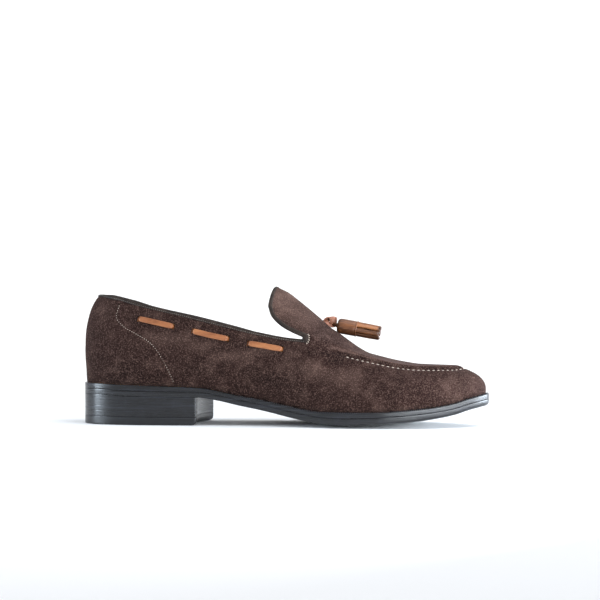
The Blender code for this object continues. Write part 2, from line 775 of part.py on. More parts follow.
def knot_place():
    """Middle of the knot, which lies on the instep just past the spine."""
    rows = np.linspace(0, 1, 8 * PLUG_ROWS + 1)
    lines = tongue_lines(LATERAL, KNOT_ALONG * np.array([0.5, 1.0, 1.5]), rows)
    row = int(np.abs(lines[1, :, 1] - KNOT_ASIDE).argmin())
    return Vector(lines[1, row] + normals_of(lines)[1, row] * KNOT_LIFT)


def make_knot(collection, cutters):
    """Two folded loops of thong and the turn that ties them, joined in one solid."""
    centre = knot_place()
    ring = KNOT_REACH - KNOT_THICKNESS
    made = []
    for back, aside, up, roll, pitch, size in zip(*KNOT_LOOPS.values()):
        bpy.ops.mesh.primitive_torus_add(
            location=centre + Vector((back, aside, up)) * KNOT_REACH,
            rotation=(math.radians(roll), math.radians(pitch), 0),
            major_segments=10,
            minor_segments=6,
            major_radius=size * ring * 1.1,
            minor_radius=KNOT_THICKNESS / 2,
        )
        loop = bpy.context.object
        loop.name = "knot_loop" if made else "tassel_knot"
        loop.data.shade_smooth()
        for other in loop.users_collection:
            other.objects.unlink(loop)
        (cutters if made else collection).objects.link(loop)
        made.append(loop)
    knot = made[0]
    for loop in made[1:]:
        loop.hide_render = True
        loop.display_type = "WIRE"
        join = knot.modifiers.new(loop.name, "BOOLEAN")
        join.object = loop
        join.operation = "UNION"
        join.solver = "EXACT"
    return knot


def ring_round(centre, ahead, radii):
    """A loop of points round a centre, square to ahead."""
    side = ahead.cross(Vector((0, 0, 1))).normalized()
    over = side.cross(ahead)
    turns = [2 * math.pi * i / len(radii) for i in range(len(radii))]
    return [centre + (side * math.cos(a) + over * math.sin(a)) * r for a, r in zip(turns, radii)]


def make_tassel(name, root, start, ahead, collection):
    """A thong from the knot, a turned head, and a skirt of strips that stand off one core."""
    points_round = 4 * FRINGE_STRIPS
    groove = np.arange(points_round) % 4 == 0
    ragged = np.sin(2.4 * (np.arange(points_round) // 4))
    thong = start - root
    loops = []
    for share in (0.0, 0.55):
        loops.append(ring_round(root + thong * share, thong.normalized(), [THONG_RADIUS] * points_round))
    for way, radius, relief, ragged_share in zip(*TASSEL.values()):
        distance = HEAD_LENGTH * min(way, 1) + FRINGE_LENGTH * max(way - 1, 0)
        radii = HEAD_RADIUS * radius - STRIP_RELIEF * relief * groove
        loop = ring_round(start + ahead * distance, ahead, radii.tolist())
        push = STRIP_RAGGED * ragged_share * ragged
        loops.append([point + ahead * far for point, far in zip(loop, push.tolist())])
    bm = bmesh.new()
    add_loops(bm, loops, closed=False)
    return object_from(bm, name, collection)


def make_tassels(collection):
    """Both tassels hang forward from the knot, the lateral one a little behind the other."""
    centre = knot_place()
    drop = math.tan(math.radians(TASSEL_TILT))
    made = []
    for side, turn, aside, back in zip(*TASSEL_PLACES.values()):
        swing = math.radians(side * turn)
        ahead = Vector((math.cos(swing), math.sin(swing), -drop)).normalized()
        root = centre + Vector((KNOT_REACH + KNOT_THICKNESS / 4, side * THONG_RADIUS, -THONG_RADIUS))
        reach = KNOT_REACH + TASSEL_GAP - back * HEAD_RADIUS
        start = centre + Vector((reach, side * aside * HEAD_RADIUS, -TASSEL_DROP))
        made.append(make_tassel("tassel_" + side_name(side), root, start, ahead, collection))
    return made


def main():
    for obj in list(bpy.data.objects):
        bpy.data.objects.remove(obj, do_unlink=True)
    shoe = bpy.data.collections.new("tassel_loafer")
    cutters = bpy.data.collections.new("cutters")
    cutters.hide_render = True
    bpy.context.scene.collection.children.link(shoe)
    bpy.context.scene.collection.children.link(cutters)

    suede = material("brown_suede", (0.069, 0.042, 0.036), 0.95)
    sole_edge = material("black_leather_sole", (0.035, 0.036, 0.038), 0.4)
    rubber = material("black_rubber", (0.02, 0.02, 0.02), 0.6)
    lining = material("tan_lining", (0.42, 0.25, 0.13), 0.6)
    binding = material("dark_green_binding", (0.03, 0.034, 0.028), 0.5)
    tan = material("tan_lace_leather", (0.48, 0.17, 0.05), 0.5)
    brown = material("brown_tassel_leather", (0.26, 0.10, 0.035), 0.45)

    upper = make_upper(shoe)
    cut_slits(upper, cutters)
    finish = {
        suede: [upper],
        sole_edge: [
            make_outsole(shoe),
            make_welt(shoe),
            make_heel_layer("heel_stack", TOP_PIECE_THICKNESS + FIT, HEEL_HEIGHT - FIT, 0, shoe),
        ],
        rubber: [make_heel_layer("heel_top_piece", 0.0, TOP_PIECE_THICKNESS, TOP_PIECE_EDGE, shoe)],
        lining: [make_insole(shoe)],
        binding: make_bindings(shoe),
        tan: [make_lace(MEDIAL, shoe), make_lace(LATERAL, shoe), make_knot(shoe, cutters)],
        brown: make_tassels(shoe),
    }
    for finish_material, objects in finish.items():
        for obj in objects:
            obj.data.materials.append(finish_material)


main()
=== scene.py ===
# %% [markdown]
# # A tassel loafer
#
# The solids of the shoe come first, as a fixed frame: they say where every piece lies.
# Each visible piece is then made again at the fineness that leather needs, over its solid.

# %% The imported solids
import json
import math

import bpy
import numpy as np
from mathutils import Matrix, Vector
from mathutils.bvhtree import BVHTree

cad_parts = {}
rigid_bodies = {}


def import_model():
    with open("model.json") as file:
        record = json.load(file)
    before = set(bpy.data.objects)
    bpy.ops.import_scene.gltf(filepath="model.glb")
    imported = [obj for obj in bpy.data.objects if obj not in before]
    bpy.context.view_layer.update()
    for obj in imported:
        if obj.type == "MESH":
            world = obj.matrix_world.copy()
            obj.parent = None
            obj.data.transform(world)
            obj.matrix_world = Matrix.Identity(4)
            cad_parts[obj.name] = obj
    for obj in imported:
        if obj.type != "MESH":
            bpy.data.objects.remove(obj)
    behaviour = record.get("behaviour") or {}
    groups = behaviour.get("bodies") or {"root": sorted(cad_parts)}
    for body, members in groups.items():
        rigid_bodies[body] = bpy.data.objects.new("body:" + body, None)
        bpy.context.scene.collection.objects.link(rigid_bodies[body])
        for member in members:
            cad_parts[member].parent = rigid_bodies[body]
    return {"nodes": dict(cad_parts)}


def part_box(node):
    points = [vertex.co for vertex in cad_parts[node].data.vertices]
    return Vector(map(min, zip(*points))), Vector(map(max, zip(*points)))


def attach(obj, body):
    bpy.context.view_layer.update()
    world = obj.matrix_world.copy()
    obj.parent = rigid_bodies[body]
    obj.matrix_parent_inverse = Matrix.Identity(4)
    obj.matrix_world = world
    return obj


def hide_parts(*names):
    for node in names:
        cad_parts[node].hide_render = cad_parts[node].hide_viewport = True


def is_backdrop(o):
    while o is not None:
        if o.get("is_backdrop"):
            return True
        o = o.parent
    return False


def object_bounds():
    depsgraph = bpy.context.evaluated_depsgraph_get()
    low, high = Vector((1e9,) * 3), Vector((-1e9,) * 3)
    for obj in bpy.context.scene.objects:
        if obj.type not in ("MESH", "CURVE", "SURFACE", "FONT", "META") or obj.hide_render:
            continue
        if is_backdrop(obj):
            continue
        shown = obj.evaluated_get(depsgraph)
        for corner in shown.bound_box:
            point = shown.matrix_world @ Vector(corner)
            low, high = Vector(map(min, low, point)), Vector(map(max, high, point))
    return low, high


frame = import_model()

CAD_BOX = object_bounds()
print("nodes:", ", ".join(sorted(frame["nodes"])))

# %% [markdown]
# ## Camera
#
# The shoe is seen level from its inner side, turned nine degrees. A short lens nearby would
# frame the same shoe but swell its middle. A long lens from far away keeps heel and toe at
# one scale, as in a product photograph.

# %% Camera
VIEW_TURN = math.radians(9)
RIGHT = Vector((math.cos(VIEW_TURN), math.sin(VIEW_TURN), 0))
INTO = Vector((-math.sin(VIEW_TURN), math.cos(VIEW_TURN), 0))
UP = Vector((0, 0, 1))

lens = bpy.data.cameras.new("camera")
lens.sensor_width = 36
lens.lens = 36 * 1918 / 600
camera = bpy.data.objects.new("camera", lens)
bpy.context.scene.collection.objects.link(camera)
place = Vector((0.116, 0, 0.0905)) + RIGHT * 0.0103 - INTO * 1.4
camera.matrix_world = Matrix.Translation(place) @ Matrix((RIGHT, UP, -INTO)).transposed().to_4x4()
bpy.context.scene.camera = camera
print("camera at", [round(v, 3) for v in camera.location])

# %% [markdown]
# ## Colour and nodes
#
# The sky and every finish are node trees. They could be clicked together in the shader
# editor. One small function that adds a node with its settings and links keeps each tree
# readable as text.

# %% Colour and nodes
def linear(code):
    """A six-digit sRGB hex colour as linear numbers."""
    parts = [int(code[i:i + 2], 16) / 255 for i in (0, 2, 4)]
    return [c / 12.92 if c <= 0.04045 else ((c + 0.055) / 1.055) ** 2.4 for c in parts] + [1]


def add(tree, kind, links=None, **settings):
    """A node with its settings, and its inputs set to numbers or linked to other nodes' outputs."""
    node = tree.nodes.new("ShaderNode" + kind)
    for name, value in settings.items():
        setattr(node, name, value)
    for name, value in (links or {}).items():
        if isinstance(value, bpy.types.NodeSocket):
            tree.links.new(value, node.inputs[name])
        else:
            node.inputs[name].default_value = value
    return node


def new_material(name):
    made = bpy.data.materials.new(name)
    made.use_nodes = True
    tree = made.node_tree
    print("finish:", name)
    return made, tree, tree.nodes["Principled BSDF"]


# %% [markdown]
# ## Light
#
# Such a photograph is taken under a large overhead softbox on a white sweep, so the sky is
# brighter overhead than at the horizon. One sun would light the suede as well, but it draws
# no gleams. Long low lamps before and beside the toe and behind the heel are mirrored in
# the polished edges as pale bands. The last lamp lights the backdrop alone.

# %% Sky and lamps
world = bpy.data.worlds.new("studio")
bpy.context.scene.world = world
bpy.context.scene.view_settings.view_transform = "Standard"
world.use_nodes = True
sky = world.node_tree
direction = add(sky, "TexCoord").outputs["Generated"]
height = add(sky, "SeparateXYZ", {"Vector": direction}).outputs["Z"]
glow = add(sky, "MapRange", {"Value": height, "To Min": 0.3, "To Max": 0.85})
sky.links.new(glow.outputs[0], sky.nodes["Background"].inputs["Strength"])
sky.nodes["Background"].inputs["Color"].default_value = (1, 1, 1, 1)


def lamp(name, at, to, wide, tall, watts, colour=(0.88, 0.94, 1.0)):
    data = bpy.data.lights.new(name, "AREA")
    data.shape = "RECTANGLE"
    data.size, data.size_y = wide, tall
    data.energy = watts
    data.color = colour
    obj = bpy.data.objects.new(name, data)
    bpy.context.scene.collection.objects.link(obj)
    obj.location = at
    obj.rotation_euler = (Vector(to) - Vector(at)).to_track_quat("-Z", "Y").to_euler()
    print(name, "gives", round(watts / (math.pi * wide * tall), 1), "times white")


lamp("over", (0.55, -0.20, 1.15), (0.12, 0, 0.04), 1.0, 0.8, 9.4)
lamp("before_toe", (0.60, -0.22, 0.07), (0.25, 0, 0.03), 0.95, 0.11, 6.2)
lamp("beside_toe", (0.60, 0.13, 0.08), (0.25, 0, 0.03), 0.30, 0.14, 3.0, (0.76, 0.88, 1.0))
lamp("behind_heel", (-0.55, -0.22, 0.15), (-0.03, 0, 0.05), 0.14, 0.3, 3.8, (0.76, 0.88, 1.0))
lamp("on_backdrop", (0.1, 1.0, 1.4), (0.1, 2.8, 0.4), 3.0, 0.6, 34.0, (1, 1, 1))

# %% [markdown]
# ## Backdrop
#
# A roll of pale paper hangs behind the shoe and runs out under it. Two planes would show a
# horizon where they meet. One plane whose far edge is extruded upwards and bevelled bends
# as softly as the paper.

# %% Backdrop
for obj in bpy.data.objects:
    obj.select_set(False)
bpy.ops.mesh.primitive_plane_add(size=8, location=(0.116, -1.2, 0))
floor = bpy.context.object
floor.name = "floor"
paper, tree, shader = new_material("pale_paper")
shader.inputs["Base Color"].default_value = linear("F0F0F1")
shader.inputs["Roughness"].default_value = 0.9
floor.data.materials.append(paper)
bpy.ops.object.mode_set(mode="EDIT")
bpy.ops.mesh.select_all(action="DESELECT")
bpy.ops.mesh.select_mode(type="EDGE")
bpy.ops.object.mode_set(mode="OBJECT")
for edge in floor.data.edges:
    edge.select = all(floor.data.vertices[i].co.y > 3.9 for i in edge.vertices)
bpy.ops.object.mode_set(mode="EDIT")
bpy.ops.mesh.extrude_region_move(TRANSFORM_OT_translate={"value": (0, 0, 4)})
bpy.ops.mesh.select_all(action="SELECT")
bpy.ops.mesh.bevel(offset=1.5, segments=12, affect="EDGES")
bpy.ops.object.mode_set(mode="OBJECT")
bpy.ops.object.transform_apply(location=True, rotation=True, scale=True)
floor.data.shade_smooth()
floor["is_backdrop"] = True
print("backdrop faces:", len(floor.data.polygons))

# %% [markdown]
# ## The last
#
# A shoe is drawn over a last, a solid foot form that no primitive resembles. It could be
# sculpted, but then no seam or stitch would know where it lies. Here it is read from short
# tables, at stations from heel to toe. Each line up the wall, and each line over the apron,
# is one Bezier curve, so a seam is a row of the grid and a stitch can be placed on it.
#
# All lengths are metres. u runs from the heel (0) to the toe (1), with the stations closer
# together at both ends.

# %% Sizes of the shoe
SOLE_LENGTH = 0.298
BALL_WIDTH = 0.0995
WAIST_WIDTH = 0.064
HEEL_WIDTH = 0.062
ORIGIN_FROM_BACK = 0.034
HEEL_HEIGHT = 0.0205
HEEL_LENGTH = 0.0896
BREAST_HOLLOW = 0.005
TOP_PIECE_THICKNESS = 0.006
OUTSOLE_THICKNESS = 0.004
WELT_THICKNESS = 0.0035
TOE_SPRING = 0.0142
EDGE_LIFT = 0.0032
REST_DEPTH = 0.0005
WELT_MARGIN = 0.0024
WALL = 0.002
BACK_HEIGHT = 0.0954
BACK_LEAN = 0.0083
THROAT_FROM_BACK = 0.1745
APRON_FRONT_FROM_BACK = 0.280
TOE_HEIGHT = 0.0435
TONGUE_HEIGHT = 0.0997
TONGUE_EDGE_HEIGHT = 0.0865
TONGUE_TIP_FROM_BACK = 0.1438
BELLY = 0.006
SEAM_RISE = 0.0028
BINDING_DEPTH = 0.0021
FIT = 0.0003
MEDIAL, LATERAL = -1, 1
SIDE_NAME = {MEDIAL: "medial", LATERAL: "lateral"}
print("sole length %.0f mm, ball width %.1f mm" % (SOLE_LENGTH * 1000, BALL_WIDTH * 1000))


def table(names, *rows):
    """A table of sections: each column's name to its numbers."""
    return dict(zip(names.split(), np.array(rows, float).T))


# %% [markdown]
# The sole comes first. Its plan is narrow at the waist and fuller towards the big toe. Seen
# from the side, it stands on the heel and on the ball and lifts between and before them.

# %% Tables of the sole
# Half widths of the outsole, as shares of the width in the same row.
OUTLINE = table(
    "along width medial lateral",
    (0.000, HEEL_WIDTH, 0.000, 0.000),
    (0.020, HEEL_WIDTH, 0.275, 0.265),
    (0.050, HEEL_WIDTH, 0.390, 0.390),
    (0.100, HEEL_WIDTH, 0.470, 0.485),
    (0.165, HEEL_WIDTH, 0.500, 0.525),
    (0.235, HEEL_WIDTH, 0.490, 0.540),
    (0.320, WAIST_WIDTH, 0.445, 0.550),
    (0.420, WAIST_WIDTH, 0.445, 0.610),
    (0.520, BALL_WIDTH, 0.350, 0.452),
    (0.620, BALL_WIDTH, 0.440, 0.503),
    (0.680, BALL_WIDTH, 0.477, 0.517),
    (0.740, BALL_WIDTH, 0.482, 0.503),
    (0.800, BALL_WIDTH, 0.457, 0.455),
    (0.860, BALL_WIDTH, 0.400, 0.378),
    (0.920, BALL_WIDTH, 0.308, 0.270),
    (0.960, BALL_WIDTH, 0.232, 0.172),
    (0.985, BALL_WIDTH, 0.155, 0.077),
    (1.000, BALL_WIDTH, 0.040, -0.040),
)

# Underside of the sole: shares of the heel's height, the toe's spring and the edge's lift,
# then of the welt's thickness.
PROFILE = table(
    "along heel toe lift welt",
    (0.000, 1.083, 0.000, 0.00, 1.00),
    (0.050, 1.076, 0.000, 0.00, 1.00),
    (0.110, 1.037, 0.000, 0.00, 1.00),
    (0.185, 1.012, 0.000, 0.00, 0.98),
    (0.258, 0.995, 0.000, 0.00, 0.90),
    (0.305, 0.985, 0.000, 0.00, 0.74),
    (0.345, 0.880, 0.000, 0.15, 0.70),
    (0.410, 0.640, 0.000, 0.40, 0.70),
    (0.460, 0.475, 0.000, 0.60, 0.74),
    (0.510, 0.300, 0.000, 0.78, 0.78),
    (0.560, 0.140, 0.000, 0.92, 0.76),
    (0.610, 0.025, 0.000, 1.00, 0.84),
    (0.655, 0.000, 0.000, 1.00, 0.98),
    (0.710, 0.000, 0.025, 1.00, 0.92),
    (0.760, 0.000, 0.085, 0.95, 0.82),
    (0.810, 0.000, 0.198, 0.75, 0.86),
    (0.870, 0.000, 0.387, 0.50, 0.82),
    (0.920, 0.000, 0.606, 0.30, 0.88),
    (0.960, 0.000, 0.881, 0.18, 0.92),
    (1.000, 0.000, 1.095, 0.10, 1.00),
)

# How far the upper stands in from the welt's edge.
MARGIN = table(
    "along share",
    (0.00, 0.62),
    (0.30, 0.70),
    (0.50, 1.00),
    (0.65, 1.25),
    (0.85, 1.10),
    (1.00, 1.00),
)

widths = (OUTLINE["medial"] + OUTLINE["lateral"]) * OUTLINE["width"] * 1000
print("sole widths from heel to toe:", widths.round().astype(int).tolist(), "mm")

# %% [markdown]
# The upper needs the line of its collar, its moccasin seam, the ridge of the instep and the
# edge of the tongue. A side view gives their heights. Their widths are those of an ordinary
# last, since a side view hides them.

# %% Tables of the upper
# Collar from the middle of the back (0) to the throat (1).
TOPLINE = table(
    "way medial lateral medial_height lateral_height",
    (0.00, 0.000, 0.000, 1.000, 1.000),
    (0.03, 0.115, 0.115, 0.999, 0.997),
    (0.12, 0.221, 0.226, 0.974, 0.956),
    (0.21, 0.259, 0.266, 0.932, 0.906),
    (0.40, 0.284, 0.296, 0.857, 0.831),
    (0.57, 0.303, 0.322, 0.787, 0.756),
    (0.75, 0.320, 0.347, 0.714, 0.673),
    (0.88, 0.332, 0.362, 0.673, 0.632),
    (1.00, 0.342, 0.372, 0.650, 0.608),
)

# Moccasin seam from the throat (0) to the toe (1).
SEAM = table(
    "way medial lateral medial_height lateral_height spine rise inset",
    (0.15, 0.314, 0.333, 1.232, 1.184, 0.646, 1.64, 1.25),
    (0.25, 0.298, 0.312, 1.154, 1.131, 0.681, 1.50, 1.14),
    (0.40, 0.283, 0.290, 1.067, 1.057, 0.732, 1.21, 0.79),
    (0.55, 0.263, 0.264, 0.991, 0.989, 0.779, 1.04, 0.50),
    (0.70, 0.226, 0.220, 0.949, 0.949, 0.822, 0.93, 0.40),
    (0.85, 0.164, 0.152, 0.943, 0.943, 0.852, 0.93, 0.36),
    (0.950, 0.095, 0.065, 0.943, 0.943, 0.871, 0.92, 0.38),
    (0.985, 0.056, 0.018, 0.950, 0.950, 0.877, 0.60, 0.36),
    (1.000, 0.020, -0.020, 0.956, 0.956, 0.879, 0.05, 0.30),
)
THROAT_SPINE = 0.609

# Ridge of the instep, from the tongue's tip to the toe.
SPINE = table(
    "along height",
    (0.484, 1.000),
    (0.510, 0.932),
    (0.537, 0.824),
    (0.564, 0.708),
    (0.592, 0.583),
    (0.611, 0.493),
    (0.640, 0.390),
    (0.660, 0.312),
    (0.684, 0.222),
    (0.708, 0.148),
    (0.755, 0.062),
    (0.802, 0.018),
    (0.850, 0.002),
    (0.880, 0.000),
)

# Edge of the tongue from the throat (0) to its end (1).
TONGUE = table(
    "way back width up",
    (0.00, 0.00, 1.000, 0.00),
    (0.30, 0.32, 0.985, 0.16),
    (0.60, 0.71, 0.925, 0.44),
    (0.85, 0.93, 0.860, 0.75),
    (1.00, 1.00, 0.775, 1.00),
)

# Handles of the curves up the wall.
SECTIONS = table(
    "along rise medial_out lateral_out back upper_out drop",
    (0.00, 0.36, 0.35, 0.35, 1.00, 0.55, 0.22),
    (0.08, 0.33, 0.75, 0.75, 0.80, 0.60, 0.34),
    (0.20, 0.33, 1.00, 0.95, 0.50, 0.75, 0.35),
    (0.38, 0.36, 1.30, 0.90, 0.30, 0.70, 0.36),
    (0.52, 0.40, 1.00, 0.70, 0.35, 0.70, 0.36),
    (0.60, 0.44, 0.60, 0.50, 0.40, 0.60, 0.34),
    (0.70, 0.46, 0.35, 0.35, 0.50, 0.30, 0.26),
    (0.85, 0.50, 0.25, 0.25, 0.60, 0.10, 0.20),
    (1.00, 0.52, 0.28, 0.28, 0.66, 0.00, 0.20),
)

# Outer runs of each side lace, as shares of the sole's length.
LACE_RUNS = table(
    "start end drop",
    (0.171, 0.247, 1.30),
    (0.303, 0.382, 1.26),
    (0.439, 0.515, 1.06),
)
collar_heights = BACK_HEIGHT * TOPLINE["medial_height"] * 1000
print("collar heights from back to throat:", collar_heights.round().astype(int).tolist(), "mm")


# %% [markdown]
# The rows of a table are few, so a curve has to run through them. A plain cubic spline
# swings past close rows and would dent the sole. Here the slope is held back wherever the
# values turn, and the curve never overshoots.

# %% Reading the tables
def smooth(knots, values, at):
    """A cubic through the rows of a table that never overshoots them."""
    step = np.diff(knots)
    slope = np.diff(values) / step
    before, after = slope[:-1], slope[1:]
    agree = before * after > 0
    total = np.where(agree, before + after, 1.0)
    inner = np.where(agree, 2 * before * after / total, 0.0)
    tangent = np.concatenate([slope[:1], inner, slope[-1:]])
    at = np.clip(np.asarray(at, float), knots[0], knots[-1])
    i = np.clip(np.searchsorted(knots, at, side="right") - 1, 0, len(step) - 1)
    t = (at - knots[i]) / step[i]
    start = values[i] * (1 + 2 * t) * (1 - t) ** 2 + tangent[i] * step[i] * t * (1 - t) ** 2
    end = values[i + 1] * (3 - 2 * t) * t**2 - tangent[i + 1] * step[i] * (1 - t) * t**2
    return start + end


def read(rows, name, along):
    return smooth(rows["along"], rows[name], along)


def along_of(u):
    return (1 - np.cos(math.pi * np.asarray(u, float))) / 2


def station_of(along):
    return np.arccos(np.clip(1 - 2 * np.asarray(along, float), -1, 1)) / math.pi


THROAT_U = 26 / 48
THROAT_ALONG = float(along_of(THROAT_U))
TOP_BACK = BACK_LEAN + WELT_MARGIN * MARGIN["share"][0]
SEAM_KNOTS = station_of(THROAT_ALONG + (1 - THROAT_ALONG) * SEAM["way"])


def unit(vectors):
    return vectors / np.linalg.norm(vectors, axis=-1, keepdims=True)


def by_column(made, count=3):
    """A table from its columns, each made for its number."""
    return np.stack([made(k) for k in range(count)], axis=-1)


def distances(path):
    """How far along a path each of its points lies."""
    return np.concatenate([[0], np.cumsum(np.linalg.norm(np.diff(path, axis=0), axis=1))])


def edge_line(side, u):
    half = OUTLINE[SIDE_NAME[side]] * OUTLINE["width"]
    y = side * smooth(station_of(OUTLINE["along"]), half, u)
    return np.stack([SOLE_LENGTH * along_of(u), y], axis=-1)


def outward(side, u):
    """Unit vector in plan that points away from the sole."""
    small = 1e-3
    ahead = edge_line(side, np.clip(u + small, 0, 1)) - edge_line(side, np.clip(u - small, 0, 1))
    at_end = (np.asarray(u) < small) | (np.asarray(u) > 1 - small)
    ahead[..., 0] = np.where(at_end, 0.0, ahead[..., 0])
    ahead = unit(ahead)
    return np.stack([-side * ahead[..., 1], side * ahead[..., 0]], axis=-1)


def inset_line(side, u, inset):
    inset = np.asarray(inset, float)[..., None] * np.ones((np.size(u), 1))
    return edge_line(side, u) - outward(side, u) * inset


def feather_inset(u):
    return WELT_MARGIN * read(MARGIN, "share", along_of(u))


def sole_floor(along):
    return HEEL_HEIGHT * read(PROFILE, "heel", along) + TOE_SPRING * read(PROFILE, "toe", along)


def edge_floor(along):
    return sole_floor(along) + EDGE_LIFT * read(PROFILE, "lift", along)


def outsole_top(along):
    return edge_floor(along) + OUTSOLE_THICKNESS


def welt_top(along):
    return outsole_top(along) + FIT + WELT_THICKNESS * read(PROFILE, "welt", along)


def shoe_mm(points):
    """Points in millimetres, with x counted from the back of the shoe."""
    return np.asarray(points) * 1000 + [ORIGIN_FROM_BACK * 1000, 0, 0]


def rise_to(points, height):
    height = np.broadcast_to(height, points.shape[:-1])
    return np.concatenate([points - [ORIGIN_FROM_BACK, 0], height[..., None]], axis=-1)


def bezier(a, b, c, d, t):
    t = np.asarray(t, float)[None, :, None]
    a, b, c, d = (p[:, None, :] for p in (a, b, c, d))
    return a * (1 - t) ** 3 + 3 * b * (1 - t) ** 2 * t + 3 * c * (1 - t) * t**2 + d * t**3


print("welt's top:", (welt_top(np.linspace(0, 1, 6)) * 1000).round(1).tolist(), "mm up")


# %% [markdown]
# The upper hangs between three lines: the feather edge at the welt, the collar or seam above
# it, and the ridge of the instep. One curve bellies out on its way up the wall, and another
# crosses the ridge square, as leather does when it is pulled over a last.

# %% Lines up the wall and over the instep
def wall_top(side, u):
    name = SIDE_NAME[side]
    knots = np.concatenate([station_of(THROAT_ALONG * TOPLINE["way"]), SEAM_KNOTS])
    along = along_of(u)
    to_throat = TOP_BACK + (THROAT_FROM_BACK - TOP_BACK) * along / THROAT_ALONG
    past = (along - THROAT_ALONG) / (1 - THROAT_ALONG)
    to_toe = THROAT_FROM_BACK + (APRON_FRONT_FROM_BACK - THROAT_FROM_BACK) * past
    y = side * BALL_WIDTH * np.concatenate([TOPLINE[name], SEAM[name]])
    collar_height = BACK_HEIGHT * TOPLINE[name + "_height"] - BINDING_DEPTH
    z = np.concatenate([collar_height, TOE_HEIGHT * SEAM[name + "_height"]])
    plan = np.stack([np.where(past < 0, to_throat, to_toe), smooth(knots, y, u)], axis=-1)
    return rise_to(plan, smooth(knots, z, u))


def wall_lines(side, u, t):
    """Lines up the wall, from the welt (t 0) to the collar or the seam (t 1)."""
    along = along_of(u)
    foot = rise_to(inset_line(side, u, feather_inset(u)), welt_top(along) + FIT)
    top = wall_top(side, u)
    height = (top - foot)[:, 2:]
    out = np.concatenate([outward(side, u), np.zeros((len(u), 1))], axis=1) * BELLY
    up = np.array([[0, 0, 1.0]]) * height
    level = foot - top
    level[:, 2] = 0
    shape = {name: read(SECTIONS, name, along)[:, None] for name in SECTIONS}
    lower = foot + up * shape["rise"] + out * shape[SIDE_NAME[side] + "_out"]
    upper = top - up * shape["drop"] + level * shape["back"] + out * shape["upper_out"]
    return bezier(foot, lower, upper, top, t)


def spine_points(x):
    share = read(SPINE, "height", x / SOLE_LENGTH)
    height = TOE_HEIGHT + (TONGUE_HEIGHT - TOE_HEIGHT) * share
    toe_drift = OUTLINE["medial"][-1] * BALL_WIDTH
    drift = -toe_drift * np.clip((x - THROAT_FROM_BACK) / (SOLE_LENGTH - THROAT_FROM_BACK), 0, 1)
    return rise_to(np.stack([x, drift], axis=-1), height)


def over_instep(edge, x, t):
    """Lines from an edge to the ridge of the instep, which they cross square."""
    small = 1e-4
    top = spine_points(x)
    slope = (spine_points(x + small) - spine_points(x - small)) / (2 * small)
    level = edge - top
    level[:, 2] = level[:, 0] * slope[:, 2]
    lean = 0.2 * (top - edge)
    lean[:, 2] = 0.5 * (top - edge)[:, 2]
    return bezier(edge, edge + lean, top + 0.33 * level, top, t)


def apron_edge(side, u):
    knots = np.concatenate([[THROAT_U], SEAM_KNOTS])
    rise = smooth(knots, np.concatenate([[2 * BINDING_DEPTH + FIT], SEAM_RISE * SEAM["rise"]]), u)
    inset = smooth(knots, np.concatenate([[0.0004], SEAM_RISE * SEAM["inset"]]), u)
    edge = wall_top(side, u)
    edge[:, :2] -= outward(side, u) * inset[:, None]
    edge[:, 2] += rise
    return edge


def apron_lines(side, u, t):
    knots = np.concatenate([[THROAT_U], SEAM_KNOTS])
    x = SOLE_LENGTH * smooth(knots, np.concatenate([[THROAT_SPINE], SEAM["spine"]]), u)
    return over_instep(apron_edge(side, u), x, t)


def tongue_lines(side, way, t):
    corner = apron_edge(side, np.array([THROAT_U]))[0]
    end_x = TONGUE_TIP_FROM_BACK - ORIGIN_FROM_BACK
    edge = np.stack(
        [
            corner[0] + (end_x - corner[0]) * smooth(TONGUE["way"], TONGUE["back"], way),
            corner[1] * smooth(TONGUE["way"], TONGUE["width"], way),
            corner[2] + (TONGUE_EDGE_HEIGHT - corner[2]) * smooth(TONGUE["way"], TONGUE["up"], way),
        ],
        axis=-1,
    )
    start = THROAT_SPINE * SOLE_LENGTH
    return over_instep(edge, start + (TONGUE_TIP_FROM_BACK - start) * way, t)


def normals_of(grid):
    return unit(np.cross(np.gradient(grid, axis=0), np.gradient(grid, axis=1)))


ridge = spine_points(np.linspace(TONGUE_TIP_FROM_BACK, APRON_FRONT_FROM_BACK, 5))
print("ridge from the tongue's tip to the toe:", (ridge[:, 2] * 1000).round(1).tolist(), "mm up")


# %% [markdown]
# ## Pieces from a grid
#
# A shoemaker's pieces are all sheets and strips. Each starts here as a flat grid primitive,
# like a hide on the bench, and its points are then drawn onto the last. A strip such as a
# lace is a grid that is rolled up: its first and last columns meet and are merged. Edit
# mode closes its ends and turns its faces outwards, and modifiers give a sheet its
# thickness.

# %% Grid, roll and copy
def deselect():
    for obj in bpy.data.objects:
        obj.select_set(False)


def pick(piece):
    deselect()
    piece.select_set(True)
    bpy.context.view_layer.objects.active = piece


def coordinates(piece, what="co"):
    flat = np.empty(len(piece.data.vertices) * 3, np.float32)
    piece.data.vertices.foreach_get(what, flat)
    return flat.reshape(-1, 3).astype(float)


def place_points(piece, points):
    piece.data.vertices.foreach_set("co", points.astype(np.float32).ravel())
    piece.data.update()


def grid_piece(name, points):
    """A grid primitive with its points drawn onto the given rows and columns."""
    rows, columns = points.shape[:2]
    deselect()
    bpy.ops.mesh.primitive_grid_add(x_subdivisions=rows - 1, y_subdivisions=columns - 1, size=1)
    piece = bpy.context.object
    piece.name = name
    at = coordinates(piece)
    i = np.rint((at[:, 0] + 0.5) * (rows - 1)).astype(int)
    j = np.rint((at[:, 1] + 0.5) * (columns - 1)).astype(int)
    place_points(piece, points[i, j])
    return piece


def join(name, pieces):
    pick(pieces[0])
    for other in pieces[1:]:
        other.select_set(True)
    if len(pieces) > 1:
        bpy.ops.object.join()
    pieces[0].name = name
    return pieces[0]


